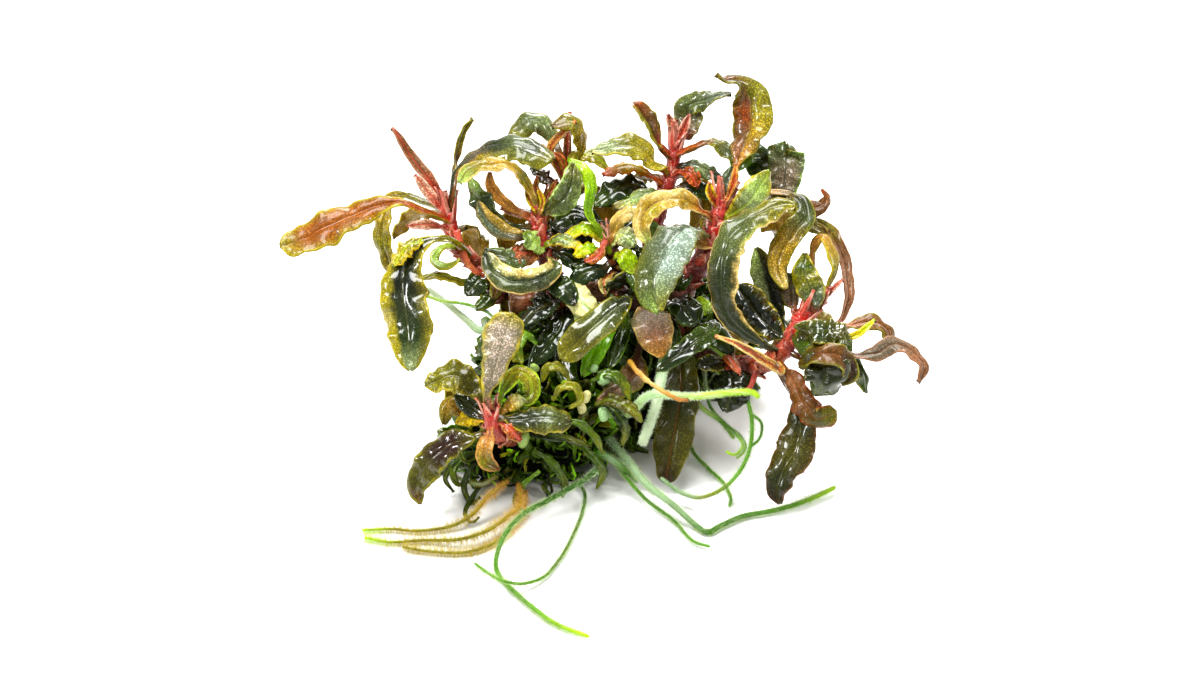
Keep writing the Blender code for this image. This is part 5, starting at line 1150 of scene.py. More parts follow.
CENTRE_LEAVES = [
    large("leaf_centre_shiny", 5.0, "2.9 5.4 -0.8, 4.4 5.8 4.4, 2.9 4.9 8.4, -1.2 1.4 11, -3.5 -0.8 11.6, "
        "-5.7 -3.2 11.4", "dark brown, black green, black green, dark slate, slate, dark olive, olive",
        finish="leaf_dark", face=(0.3, 0.5, 0.8), tip_face=(-0.1, 0.3, 0.95), stalk=0.36, waves=0.14,
        tip=0.35, rim="olive", rim_width=0.3, under="lime"),
    large("leaf_centre_dark", 3.8, "-6.2 4.8 2.6, -5.6 2.6 5.4, -8 -1.2 7.6, -10.4 -4.4 8", "dark brown, "
        "black green, dark green, dark green", face=(-0.1, 0.4, 0.9), stalk=0.15, rim="dark green"),
    # The pale band partway along this leaf is a painted reflection beside its own pink brown.
    large("leaf_centre_pink", 5.8, "7.2 4.6 -1.8, 7.4 4.6 3, 7.6 3 6.6, 8.6 -0.2 8, 9.4 -2.9 7.8", "wine, "
        "pink brown, pink brown, pale mauve, pink brown, tan", face=(0, 0.5, 0.85), tip_face=(0, 0.1, 0.98),
        stalk=0.32, rim="beige", fold=0.2, under="brown", margin_share=0.5),
    large("leaf_centre_glossy", 4.8, "10.2 3.4 -2.2, 10.6 5.4 1, 12.3 5 4.6, 14.3 2 5.6", "wine, dark green, "
        "black green, dark green", face=(0.2, 0.4, 0.9), stalk=0.25, rim="moss", tip=0.35),
    large("leaf_centre_striped", 3.4, "14.6 1.4 -2, 17 2.2 2.6, 16 0.6 7, 12.5 -2 10.2, 8.6 -4.9 11",
        "dark slate, dark green, moss, black green, dark green", finish="leaf_dark", face=(0.1, 0.5, 0.85),
        rim="moss", under="moss"),
    large("leaf_centre_long", 5.8, "12.4 -1.4 -2, 12.2 -3.6 1.6, 12 -9.4 4, 10.9 -15.4 4.4, 9.8 -21.7 3.6",
        "slate, slate, dark olive, dark slate, dark olive, dark olive, dark brown", face=(0.1, 0.3, 0.95),
        tip_face=(-0.2, 0.05, 0.97), stalk=0.12, tip=0.35, base=0.4, rim="olive", rim_width=0.15,
        under="brown"),
    large("leaf_centre_low", 4.2, "5.6 1.6 -1.8, 5.6 -3 3.4, 4.8 -6 6.8, 2.5 -7.9 8.6, -0.4 -9.6 9.2",
        "brown, dark olive, dark brown, brown, mauve, brown", stalk=0.45, rim="olive", tip=0.8),
]

RHIZOME_SMALL = [
    leaf(3.8, "-9 6 1.4, -7.6 8.4 4, -5.6 7.6 6, -3.8 5 6.8", "dark brown, black green, dark green, "
        "black green", "leaf_dark", along=34, rim="moss"),
    leaf(3.0, "-6.2 6.4 0, -8.4 4.8 2.4, -11.2 2.4 3.4, -12.8 -0.8 3.6", "dark brown, dark green, "
        "black green, dark green", "leaf_dark", along=34, rim="moss"),
    leaf(3.4, "1.6 6.4 -2, 1.4 4.2 3.2, 0.2 0.6 6.4, -1.4 -3.4 8.2, -2.6 -5.8 8.6", "moss, leaf green, "
        "bright green, bright green, leaf green", "undergrowth", along=34, rim="bright green"),
    leaf(3.2, "-4.4 5.2 0, -4.4 2.2 3.4, -5.2 -2 5.6, -4.8 -5.4 7.4, -3.2 -8 8.6", "dark green, moss, "
        "black green, dark green, moss", "leaf_dark", along=34, rim="moss"),
    leaf(2.6, "3.4 5.6 -2.6, 3.6 2.4 3, 2.6 -1.4 6, 1.4 -4.6 7.6", "dark green, moss, dark green, moss",
        "leaf_dark", along=30, rim="leaf green"),
    leaf(3.0, "7 4.2 -2, 8.4 4 2.4, 10.4 1.4 4.4, 11.8 -1.8 5", "dark green, black green, dark green, moss",
        "leaf_dark", along=30, rim="moss"),
    leaf(3.6, "12.6 0.6 -3, 15.2 1.4 1.4, 18 0 3.2, 19.8 -2.4 3.6", "wine, dark green, moss, dark green",
        "leaf_dark", along=30, rim="moss"),
    leaf(3.0, "-2.6 7 -1, -1.8 6 2.4, -2.2 3.6 5.4, -4.8 1.4 5.4", "cream, cream, pale green, cream",
        "pale_blade", rim="cream", under="cream"),
    leaf(3.2, "4 6 -2.6, 5 8.2 -0.2, 3.8 8.6 2.4, 0.8 7.4 3.4", "dark green, black green, dark slate",
        "leaf_dark", face=(0.3, -0.6, 0.7), rim="olive"),
    leaf(2.4, "1 7 -2, 0.4 9.6 1, -2 11.2 2.2, -4.2 10.8 2.4", "black green, dark slate, dark green",
        "leaf_dark", face=(0, 0.7, 0.7), rim="moss"),
    leaf(3.8, "-5.6 8.2 2.8, -4.2 7.2 5, -2.6 5.2 6.4, -1 3.6 7", "pale green, cream, cream, cream",
        "pale_blade", stalk=0.02, face=(0.1, 0.3, 0.95), rim="cream", base=0.4, tip=0.3, under="cream",
        fold=0.1),
    leaf(2.6, "-10.4 5.6 2, -9 6 5, -8 3.4 6", "brown, black green, dark green", "leaf_dark",
        rim="dark green"),
    leaf(3.4, "-5.4 6 2, -7.6 5 6.4, -10 3.6 8.8, -12.2 1.6 9.6", "dark brown, black green, black green, "
        "dark slate", "leaf_dark", rim="dark green", face=(-0.2, 0.7, 0.6)),
    leaf(1.6, "-6.4 6.4 1.4, -5.8 4.6 3.4, -6.6 2.6 4", "pink brown, tan, yellow olive", "bract", rim="tan"),
    leaf(3.2, "12.4 2 -3, 14.6 4.6 1, 16.4 4 3.4", "pale green, cream, lime, pale green", along=20,
        rim="lime"),
    leaf(2.8, "10.6 4.6 -3, 11.6 8 -0.4, 13.8 9.4 1", "wine, dark green, dark green", "leaf_dark", along=20,
        rim="moss"),
    leaf(4.6, "-10 5.6 0.4, -11.5 8 -5, -13 7 -9, -14 3.5 -12", "wine, slate, olive, slate", "leaf_slate",
        along=30, face=(-0.3, 0.6, -0.6)),
]

LOWER_LEFT_LEAVES = [
    # Most of this leaf's length is a painted reflection, between its own pink foot and yellow olive tip.
    large("leaf_lower_left_upright", 5.4, "-16.8 -10 15.6, -17 -8.2 16.4, -15.8 -4.6 17, -14.6 -0.4 17, "
        "-13.2 3.4 16", "pink, mauve, pale mauve, pale mauve, pale mauve, pale mauve, yellow olive",
        face=(0.2, 0.1, 0.97), stalk=0.1, margin_share=0.75, ragged=1.5, rim_width=0.45, tip=0.25, base=0.9,
        fold=0.15, waves=0.2),
    large("leaf_lower_left_dark", 5.2, "-17.8 -10.4 14.6, -19 -7.6 14.4, -21.8 -5.8 14.6, -26.1 -7.1 14.8",
        "dark green, dark olive, dark olive, olive, olive", finish="leaf_olive", face=(-0.2, 0.6, 0.8),
        stalk=0.25, rim_width=0.35, waves=0.18),
    large("leaf_lower_left_long", 4.9, "-16.8 -14.9 13.2, -19.4 -15.2 14, -22 -15.8 13.6, -24.4 -17.6 12.8, "
        "-26.4 -20 11.8, -27.6 -22.6 10.8, -27 -24.8 9.8", "brown, dark olive, dark brown, dark brown, "
        "dark olive, dark olive, brown", finish="leaf_dark", face=(-0.1, 0.5, 0.85),
        tip_face=(-0.3, 0.2, 0.95), stalk=0.15, rim="olive", rim_width=0.4, under="olive", tip=0.7),
    large("leaf_lower_left_right", 4.4, "-14.6 -12 14.6, -12.4 -12.4 14.6, -9.4 -12 15, -6.8 -12.1 15, "
        "-4.5 -12.8 14.4", "brown, dark slate, dark slate, slate, dark olive", face=(0, 0.5, 0.85),
        stalk=0.12, rim_width=0.25, fold=0.15, tip=0.35, waves=0.14),
]

LOWER_LEFT_SMALL = [
    leaf(2.4, "-16 -12.8 14, -18.6 -11 12.6, -21.6 -8.8 12", "wine, dark slate, dark green", "leaf_dark",
        rim="dark green"),
    leaf(2.6, "-16.4 -12.6 13.4, -19.4 -12 12.4, -21.4 -12.8 12.2", "orange, yellow, yellow", "leaf_ochre",
        waves=0.3, rim="yellow", under="yellow"),
    leaf(2.6, "-17 -13 12.8, -20.4 -11.4 11.4, -22.6 -10 11, -23.4 -13 10.6", "brown, brown, ochre, olive",
        "leaf_brown", rim="olive", along=24),
    leaf(2.8, "-15.8 -11.6 13.8, -14.4 -7.6 13.6, -12.4 -5.2 13.4, -10.4 -6.4 13.6, -10.6 -9 13.4, "
        "-12.8 -9.4 13", "olive, moss, yellow olive, olive, dark olive", face=(0, 0.5, 0.8), along=34,
        rim="lime", under="yellow olive"),
    leaf(2.6, "-16 -13.2 14, -17 -15.8 17, -17.2 -18.4 16.8, -15.3 -19.7 16", "pink, pink brown, tan, olive, "
        "brown", "leaf_brown", face=(-0.3, 0.1, 0.9), rim="tan", fold=0.5),
    leaf(2.2, "-15.4 -12.6 14, -13.6 -13.6 15, -12 -15.4 14.6", "red, orange, wine", "bract", rim="tan"),
    leaf(2.6, "-14.8 -11.4 13.4, -13 -9.8 14, -11.4 -9.4 14", "tan, ochre, pale slate", "leaf_ochre",
        waves=0.3, rim="olive"),
    leaf(4.2, "-15.6 -12.8 13, -18.6 -8.4 9.6, -21 -6.6 6, -23 -9.4 3", "wine, olive, moss, olive",
        "leaf_olive", along=30, across=8, face=(-0.4, 0.7, -0.2)),
]


def grow_leaf(name, **shape):
    """One large leaf in place of its solid."""
    shape.setdefault("finish", SLOTS[name])
    finish_piece(add_leaf(name, **shape), name)


def add_bracts(name, count, reach, spread, tones, start=0.97, turn=0.0, broad=0.8):
    """A whorl of small pointed sheaths round a shoot."""
    places, radius, end_radius = SHOOTS[name]
    line = Route(places)
    bracts = []
    for number in range(count):
        share = start - 0.04 * (number % 3)
        foot, direction = line.at(share)
        size = radius + (end_radius - radius) * share
        normal = direction.orthogonal().normalized()
        angle = number * SHEATH_TURN + turn
        out = normal * math.cos(angle) + direction.cross(normal) * math.sin(angle)
        length = reach * (1 + 0.25 * math.sin(number * 1.7))
        base = foot + out * size * 0.75 - direction * 1.2
        middle = foot + out * size * (1.05 + spread * 0.4) + direction * length * 0.4
        end = foot + out * size * (1.0 + spread) + direction * length
        colours = (tones, "wine, red, pink, pale pink", tones, "wine, rust, pink, tan")[number % 4]
        bracts.append(add_leaf(f"{name}_bract_{number}", size * 1.5 * broad, [base, middle, end], colours,
                               face=out, rim="pale pink", under=tones, stalk=0.0, fold=-0.5, waves=0.05,
                               base=0.3, tip=0.8, crumple=0.1, finish="bract", along=10, across=6,
                               stalk_width=size, thick=0.7))
    return bracts


def grow_shoot(name, slot, stem_tones, small, bract_tones="wine, red, red, pink, brown", crown=7, scales=4,
               reach=4.0):
    """A rhizome with its sheaths, the crown at its end and the small leaves that grow on it."""
    places, radius, end_radius = SHOOTS[name]
    line = Route(places)
    rings = max(int(line.length / RING_SPACING), 3)
    pieces = [add_tube(name, radius * 0.95, places, stem_tones, slot, end_radius, rings=rings, swell=0.16,
                       spacing=0.3, wander=0.14, sides=20)]
    if crown:
        pieces += add_bracts(name, crown, reach, 0.6, bract_tones, broad=0.6)
        pieces += add_bracts(name, 3, reach * 0.8, 0.1, bract_tones, turn=0.9, start=0.99)
    for ring in range(scales):
        pieces += add_bracts(name, 4, 2.2, 0.25, stem_tones + ", brown",
                             start=0.3 + 0.6 * ring / scales, turn=ring * 1.1, broad=1.0)
    for number, shape in enumerate(small):
        values = {"along": 28, "across": 10, "stalk": 0.2, "fold": 0.2}
        values.update(shape)
        pieces.append(add_leaf(f"{name}_leaf_{number}", seed=number * 2.3, **values))
    finish_piece(join(name, pieces), name)


def grow_rosette(leaves, shoot, slot, stem_tones, small, **crown):
    """The large leaves of a shoot and then the shoot itself."""
    for shape in leaves:
        grow_leaf(on=shoot, **shape)
    grow_shoot(shoot, slot, stem_tones, small, **crown)


# Roots


def add_hairs(name, radius, places, tones, foot_tones, length, per_mm, seed, end_radius=None, droop=0.0):
    """The short fuzz on a root: many fine closed spikes, with some of the root's colour at their feet."""
    chance = random.Random(seed)
    line = Route(places)
    total = int(line.length * per_mm)
    end_radius = end_radius or radius
    tip_shades, foot_shades = colours_of(tones), colours_of(foot_tones)
    corners, faces, tone = [], [], []
    for number in range(total):
        share = (number + chance.random()) / total
        middle, direction = line.at(share)
        normal = direction.orthogonal().normalized()
        angle = chance.random() * math.tau
        out = normal * math.cos(angle) + direction.cross(normal) * math.sin(angle)
        size = radius + (end_radius - radius) * share
        fade = min(1.0, (1 - share) * 9 + 0.15)
        tall = length * fade * (0.55 + 0.6 * chance.random())
        lean = direction * (chance.random() - 0.5) * HAIR_LEAN
        lean += direction.cross(out) * (chance.random() - 0.5) * HAIR_LEAN
        way = (out + lean).normalized()
        foot = middle + out * size * 0.85
        aside = way.orthogonal().normalized()
        other = way.cross(aside)
        tip = foot + way * (tall + size * 0.15) - Vector((0, 0, droop * tall * chance.random()))
        tip.z = max(tip.z, HAIR_FLOOR)
        first = len(corners)
        for turn in THREE_WAYS:
            corners.append((foot + (aside * math.cos(turn) + other * math.sin(turn)) * HAIR_RADIUS) * MM)
        corners.append(tip * MM)
        faces += [(first, first + 1, first + 3), (first + 1, first + 2, first + 3)]
        faces += [(first + 2, first, first + 3), (first + 2, first + 1, first)]
        colour = blend_colours(tip_shades, share)
        # Each hair is painted up to a quarter lighter at random: painted light in place of the light that
        # shines through the fuzz and against the shadows the hairs cast on one another.
        shade = 1.0 + 0.25 * chance.random()
        deep = mixed(colour, blend_colours(foot_shades, share), FOOT_SHARE)
        tone += [[min(c * shade, 0.95) for c in deep[:3]] + [1.0]] * 3
        tone.append([min(c * shade, 0.95) for c in colour[:3]] + [1.0])
    fuzz = new_piece(name, corners, faces)
    write_layers(fuzz.data, [FAR_FROM_EDGE] * len(corners), tone)
    write_uv(fuzz.data, [(0.0, 0.0)] * len(corners))
    fuzz.data.materials.append(material("root_hair"))
    return fuzz


# The roots, with the length of their fuzz in mm as hair and its colours as fuzz.
ROOTS = [
    root("root_left_upper", 0.42, "-35.7 -28.9, -31.4 -28.7, -27.6 -29, -22.7 -28.4 ^0.9, -20.1 -27.2 ^1.6, "
        "-18.2 -25.6 ^2.6, -16.8 -23.8 ^3.6, -13.7 -21.4 6.6", "lime, olive, olive, olive, ochre, ochre",
        hair=1.1, backward=True, fuzz="lime, root fuzz, root fuzz, root fuzz, beige, tan"),
    root("root_left_middle", 0.45, "-35.3 -30, -31.4 -30.7, -26.3 -30.4 ^0.6, -21.3 -30.3 ^1.4, -17 -29 ^2, "
        "-13.8 -26.8 ^2.2, -11.9 -24.8 ^2.6, -12.3 -21.8 6.35", "lime, olive, olive, olive, ochre, ochre",
        hair=1.35, backward=True, fuzz="lime, root fuzz, root fuzz, root fuzz, beige, tan"),
    root("root_left_lower", 0.45, "-29.6 -31.4, -26.3 -32, -22.5 -32.3, -19.5 -32.1, -16 -30.9, -13.4 -28.8, "
        "-11.6 -26.4, -11.2 -22.9 4.95", "olive, olive, olive, ochre, ochre", hair=1.35, backward=True,
        fuzz="root fuzz, root fuzz, beige, tan"),
    root("root_front_long", 0.6, "-0.1 -19.3 2.8, -1.8 -21 6, -4.5 -22.6 7.8, -7.7 -24.4 9.4, "
        "-11.4 -26.4 ^3.6, -14.1 -29.3 ^3.6, -15.5 -32.8 ^2.2, -15.3 -35.4, -13.2 -37.8, -10.2 -40.4, "
        "-6.5 -43, -1.5 -44.9", "root dark, root dark, root dark, root green, root green, lime", hair=0.5,
        fuzz="root pale, root edge, root edge, root edge, lime"),
    root("root_front_loop", 0.42, "-3.6 -21.4 3.1, -2.3 -23.4 ^1.2, -2.7 -26.4, -4.4 -30.4, -5.9 -33, "
        "-8.3 -35.8, -11.4 -36.9 ^1.4, -14.6 -36.5 ^2.4, -17 -35.2 ^1, -18.9 -33.8", "root dark, moss, moss, "
        "root green, root green", hair=0.36, fuzz="root pale, root edge, root edge, root edge"),
    root("root_right_thick", 0.74, "1.4 -15.2 2, 4.4 -18.8 5.4, 7.2 -22.2 7.6, 10.8 -25 ^2.4, "
        "14.4 -28.2 ^0.7, 16.2 -29.2 ^0.7, 18 -28.3 ^0.7, 21.5 -26.8 ^0.7, 26.3 -25.9 ^0.7, 31.1 -24.4 ^0.7, "
        "35.4 -22.4 ^0.7", "root grey, root grey, root grey, root dark, root dark, root green, lime",
        end_radius=0.5, hair=0.42, fuzz="root pale, root edge, root edge, root edge, lime"),
    root("root_right_second", 0.45, "1.4 -17.4 2.3, 3.8 -20.8 4.8, 7 -24.4 ^1.2, 11 -27.4, 13.8 -30.4, "
        "16.6 -31.4", "root dark, root green, root dark, root green", hair=0.3, fuzz="root edge, root edge"),
    root("root_right_loop", 0.5, "22 -6.4 1.8, 22.2 -9.4 4, 22.8 -12.6 5.2, 22.5 -16.6 6.2, 21 -20 6.8, "
        "18.5 -22.6 7.6, 15 -24 7.6, 12 -23.2 6.8, 9 -21 6.2", "root pale, root green, root green, "
        "root green, root green, olive, root grey, root grey", hair=0.44, fuzz="root pale, root edge, "
        "root edge, root grey"),
    root("root_right_thin", 0.42, "12.5 -11.3 ^3.4, 13 -14 ^2.2, 14 -17.2 ^1, 16.2 -19.6, 18.5 -21.8, "
        "19.6 -24, 19.4 -25.4", "root pale, root green, root green, root green", hair=0.32, fuzz="root edge, "
        "root edge"),
    root("root_right_hook", 0.42, "15.5 -4.2 -4.4, 16.5 -10.3 -1, 20.3 -14.4 2, 21.4 -16.2 3, "
        "20.2 -17.6 3.6, 18.8 -17 3.4", "root pale, root green, root green, lime", hair=0.2,
        fuzz="root pale, root pale"),
    root("root_white_upright", 0.9, "9.9 1.1 -2.5, 9.8 -2.6 2.4, 9.2 -5.8 6.2, 8.3 -10.6 7, 6.2 -16.3 6",
        "root pale, mint, root pale, root pale", hair=0.14, fuzz="root white, root white"),
    root("root_white_level", 0.8, "0.3 -11.2 4.6, 4.4 -11.2 7.2, 7.6 -8.6 10.8, 13.4 -8.9 11, "
        "19.2 -8.3 11.2, 22.7 -8.2 11.4, 23.9 -9.1 11.4", "root green, pale green, mint, pale green, lime, "
        "lime", end_radius=0.5, hair=0.16, fuzz="root white, root white, root white, lime"),
    root("root_pale_left", 0.68, "-13.9 2.9 1.6, -17.7 1 2, -20 2.6 2.2, -22.8 5 2.6, -26 7.4 3.4",
        "root pale, mint, root pale, root pale, root white", end_radius=0.5, hair=0.16,
        fuzz="root white, root white"),
]

# Thin roots that spring from a long one: the radius in mm before thinning, the route and the colours.
SIDE_ROOTS = {
    "root_right_loop": [(0.35, "22.6 -11.4 4.9, 24.2 -12.8 5.6, 24 -15 6, 22.6 -16.4 6.1", "root green, "
        "root dark, root green")],
    "root_right_hook": [(0.8, "15.4 -0.6 -2, 17.4 -1.6 0.2, 19.4 -3.6 0.8, 21.4 -6 1", "mint, pale green, "
        "lime, pale green"), (0.5, "19 -13.4 0.4, 20.8 -14.6 0.6, 21.8 -16.6 1, 20.4 -18.2 1.4",
        "pale green, root green, pale green")],
    "root_right_thin": [(0.6, "13.2 -8.4 2, 15.6 -10.8 2.2, 18.2 -12.6 1, 20.2 -15.2 0.2", "mint, "
        "pale green, root green, pale green")],
    "root_right_second": [(0.7, "-0.4 -17.2 3.4, 1.6 -18.2 4.6, 3.8 -19.8 4.8, 5.6 -21.8 3.6", "root green, "
        "root grey, root green, root grey"), (0.55, "0.8 -17.6 2.2, 3.2 -18.6 3.2, 5.4 -20.6 3", "root grey, "
        "root pale, root grey")],
    "root_pale_left": [(0.4, "-15 2 2, -17.2 4 2.6, -20.6 5.1 3.4, -24.2 5.6 4.2, -27.2 6.8 4.6", "mint, "
        "root green, bright green, lime, lime")],
    "root_left_middle": [(0.5, "-15.4 -20.6 5, -17.6 -22 4.6, -20 -21.6 4.6, -22.6 -20.4 4.4", "root fuzz, "
        "root pale, pale green, root pale")],
}


def grow_root(name, radius, route, tones, hair, fuzz, end_radius=None, backward=False, seed=1):
    """One long root in place of its solid: a smooth core and the fuzz that stands on it."""
    pale = "white" in name or "pale" in name
    finish = "root_white" if pale else "root"
    core = PALE_CORE if pale else THICK_CORE if radius > THICK_FROM else THIN_CORE
    radius *= sizes().root_width
    end = (end_radius or radius) * (sizes().root_width if end_radius else 1.0)
    hair *= sizes().fuzz_length
    thin = radius * 0.36 if backward else radius * core
    far = radius * 0.7 if backward else end * core * 0.8
    pieces = [add_tube(name, thin, route, tones, finish, far, spacing=0.35, sides=12, wander=0.07,
                       floor=CORE_FLOOR)]
    count = sizes().hairs_per_mm * (1.0 if pale else GOLDEN_FUZZ if backward else GREEN_FUZZ)
    if backward:
        radius, end = GOLDEN_RADII
    pieces.append(add_hairs(name + "_fuzz", radius * core, route, fuzz, tones, hair + radius * 0.2, count,
                            seed, end * core * 0.9, droop=0.3 if backward else 0.0))
    for thick, side, side_tones in SIDE_ROOTS.get(name, []):
        side = points(side)
        pieces.append(add_tube(name + "_side", thick * 0.62, side, side_tones, finish, thick * 0.5,
                               spacing=0.35, sides=10))
        pieces.append(add_hairs(name + "_side_fuzz", thick * 0.5, side, fuzz, side_tones,
                                0.25 + thick * 0.4, count, seed + 9))
    finish_piece(join(name, pieces), name)


# Low growth


def copies_of(name, patterns, placings, finish):
    """One mesh of many copies of small leaves. A placing is the pattern's number, a matrix and a colour."""
    corners, faces, tone, edge, places = [], [], [], [], []
    for number, matrix, colour in placings:
        shape = patterns[number]
        first = len(corners)
        turned = shape["co"] @ np.array(matrix.to_3x3()).T + np.array(matrix.translation)
        corners.extend(turned.tolist())
        faces.extend([[first + c for c in face] for face in shape["faces"]])
        # Each copy's colour is scaled by the painted shade and light of its pattern.
        light = shape["light"][:, None] * np.array(colour)[None, :]
        tone.extend(np.concatenate([light, np.ones((len(light), 1))], 1).tolist())
        edge.extend(shape["edge"].tolist())
        places.extend(shape["uv"].tolist())
    piece = new_piece(name, corners, faces)
    mesh = piece.data
    write_layers(mesh, edge, tone, rim=[[c * LIGHTER_RIM for c in t[:3]] + [1.0] for t in tone])
    write_uv(mesh, places)
    mesh.materials.append(material(finish))
    mesh.polygons.foreach_set("use_smooth", [True] * len(mesh.polygons))
    mesh.update()
    return piece


def small_pattern(width, length, arch, twist, along=6, tip=0.55):
    """A small leaf modelled once, standing on the origin and arching over."""
    spine = []
    for step in range(4):
        share = step / 3
        bend = arch * share
        spine.append(Vector((math.sin(bend) * length * share * 0.7, twist * share * length * 0.3,
                             length * share * math.cos(bend * 0.7))))
    blade = add_leaf("small_leaf", width, spine, "moss", face=Vector((-0.9, 0.1, 0.5)), stalk=0.15, fold=0.3,
                     waves=0.15, crumple=0.1, along=along, across=2, stalk_width=0.35, tip_width=0.1,
                     thick=0.6, tip=tip)
    mesh = blade.data
    co = np.zeros(len(mesh.vertices) * 3)
    mesh.vertices.foreach_get("co", co)
    co = co.reshape(-1, 3)
    tall = co[:, 2] / co[:, 2].max()
    edge = np.zeros(len(mesh.vertices), np.float32)
    mesh.attributes["edge"].data.foreach_get("value", edge)
    uv = np.zeros((len(mesh.vertices), 2))
    for loop, spot in zip(mesh.loops, mesh.uv_layers["UVMap"].data):
        uv[loop.vertex_index] = spot.uv
    # light paints each small leaf darker at its foot, down to 0.75 of its colour, and lighter at its tip, up to
    # 1.35: painted shade low in the clump and painted light at the tips.
    shape = {"co": co, "faces": [list(p.vertices) for p in mesh.polygons], "light": 0.75 + 0.6 * tall,
             "edge": edge, "uv": uv}
    bpy.data.objects.remove(blade)
    return shape


# The small leaves of the low growth: width, length, how far they arch, twist, steps along and tip.
PATTERNS = [
    (1.9, 4.4, 0.9, 0.2),
    (1.4, 5.4, 1.3, -0.4),
    (2.5, 4.2, 0.6, 0.3, 6, 0.35),
    (0.75, 6.0, 2.2, 0.6, 8),
    (0.6, 5.0, 2.8, -0.8, 8),
    (3.2, 6.2, 0.8, 0.2, 8),
]
FRONT_PATTERNS = [0, 1, 3, 3, 4, 4]
BACK_PATTERNS = [0, 0, 1, 2, 2, 3, 5, 5]
FRONT_GREENS = ["dark green", "moss", "moss", "moss", "leaf green", "leaf green", "dark olive", "olive"]
BACK_GREENS = ["dark olive", "dark slate", "dark green", "moss", "moss"]


# How much lighter the rims of these leaves are.
LIGHTER_RIM = 1.25

# Places from front to back, in mm: narrow leaves grow before NARROW_TO and below NARROW_UNDER, brighter
# greens before BRIGHT_TO and smaller leaves before SMALL_TO and past SHRUNK_FROM.
NARROW_TO = 2
NARROW_UNDER = 11
BRIGHT_TO = 12
SMALL_TO = 17
SHRUNK_FROM = 33

# The share of bright green leaves in front and behind.
BRIGHT_IN_FRONT = 0.12
BRIGHT_BEHIND = 0.02

# The lumps under the leaves: centre and radii in mm. A leaf is left out if its foot is lower than
# LOWEST_FOOT mm or if depth_in another lump is less than INSIDE_LUMP.
INSIDE_LUMP = 0.36
LOWEST_FOOT = 0.8
LUMPS = [
    ((-9.2, 5.2, 4.0), (11.0, 10.5, 9.0)),
    ((-16.7, 2.7, 3.0), (5.5, 6.5, 6.5)),
    ((-8.2, 13.2, 8.0), (9.0, 9.0, 8.5)),
    ((3.8, 16.2, 4.0), (9.0, 9.5, 9.0)),
    ((9.8, 27.2, 5.0), (13.0, 10.5, 10.0)),
    ((-8.6, 24.2, 4.0), (9.4, 9.5, 9.0)),
]

# Pale buds: place on the board, size and colour.
BUDS = [
    ((-2.2, -9.0, 10.8), 0.9, "cream"),
    ((0.6, -6.2, 9.6), 0.95, "mint"),
    ((0.4, -11.6, 10), 0.85, "mint"),
    ((-11.6, -15.0, 12.6), 1.3, "pale green"),
    ((-2.8, -10.6, 10.6), 0.8, "cream"),
    ((-0.9, -4.6, 8.6), 0.6, "mint"),
    ((-9.8, -4.6, 9.4), 0.8, "pale green"),
    ((-5.2, -7.0, 9.6), 0.6, "lime"),
]

# Long narrow leaves over the low growth: width, route and colour.
FRONDS = [
    (1.0, "-17.4 -17.2 5, -20.2 -17.6 6, -22 -19.8 5.6, -21.4 -22 5, -19.6 -21.6 5", "moss"),
    (0.9, "-17 -18.2 5, -19.2 -19.4 6.2, -20.4 -22.2 5.4, -19.4 -24.8 4.4, -18 -24 4.4", "dark green"),
    (0.8, "-18 -17 5.4, -21.4 -18.2 5.6, -23.2 -21 4.6, -22 -23.2 4", "dark green"),
    (0.8, "-16.6 -16.8 6, -18.6 -15.6 7, -20.8 -16.8 7, -20.2 -18.6 6.6, -18.6 -18 6.4", "moss"),
    (0.7, "-16 -19.6 4.4, -18.2 -22.6 4, -20.2 -26 2.6, -19.4 -27.8 2, -18.2 -27 2", "dark green"),
    (1.4, "-13 -13.6 11, -9.4 -14.6 12, -5.2 -15 11.4, -1.4 -16.4 9.6", "dark green"),
    (1.3, "-10 -17 8.6, -7.4 -18.6 9.4, -5.4 -21.6 8, -5.6 -23.8 6.6", "moss"),
    (1.2, "-4 -15.6 9, -1.6 -17.4 9, 0.4 -20 7.2, -0.4 -22.6 5.6", "moss"),
    (1.1, "-9 -20 6.6, -11.4 -22 6.4, -12.6 -24.6 5, -11.4 -26.6 4", "leaf green"),
    (1.3, "-6.4 -12.6 11, -3.4 -12.8 12, -1 -14.6 11.2, 0.4 -17.4 9.4", "moss"),
    (1.6, "-9.6 -1 8.6, -11.2 0.6 10.4, -12.4 -1.6 11, -11.6 -4 10.8", "leaf green"),
    (1.8, "-1.2 -6.6 9, 1 -5.4 10.6, 3.4 -6.6 10.4, 4.4 -9.2 9.6", "moss"),
    (1.6, "0.6 -9.6 9.4, 2.4 -11.4 10.8, 3.8 -13.8 10, 3.4 -16 8.6", "dark green"),
    (2.0, "-0.6 -10 10, 1.6 -9.4 12.4, 4.6 -10.6 13, 6.2 -12.6 12.2", "dark olive"),
    (1.5, "-4.6 -6.4 9.4, -6 -4.4 11, -8 -4.6 11.4, -8.6 -6.6 11", "olive"),
    (1.3, "-7 -9.4 10.6, -6 -7.6 12.2, -3.8 -7.4 12.4, -3 -9.4 12, -4.6 -10.6 11.6", "olive"),
]


def add_ball(segments, ring_count, **values):
    """A sphere with its faces in a fixed order, because a new sphere has them in another order each time."""
    bpy.ops.mesh.primitive_uv_sphere_add(segments=segments, ring_count=ring_count, **values)
    ball = bpy.context.object
    mesh = ball.data
    spots = mesh.uv_layers["UVMap"].data
    faces = [[(mesh.loops[loop].vertex_index, *spots[loop].uv) for loop in face.loop_indices]
             for face in mesh.polygons]
    faces.sort(key=lambda face: sorted(corner[0] for corner in face))
    places = [vertex.co.copy() for vertex in mesh.vertices]
    mesh.clear_geometry()
    mesh.from_pydata(places, [], [[corner[0] for corner in face] for face in faces])
    layer = mesh.uv_layers.new(name="UVMap")
    layer.data.foreach_set("uv", [number for face in faces for corner in face for number in corner[1:]])
    return ball


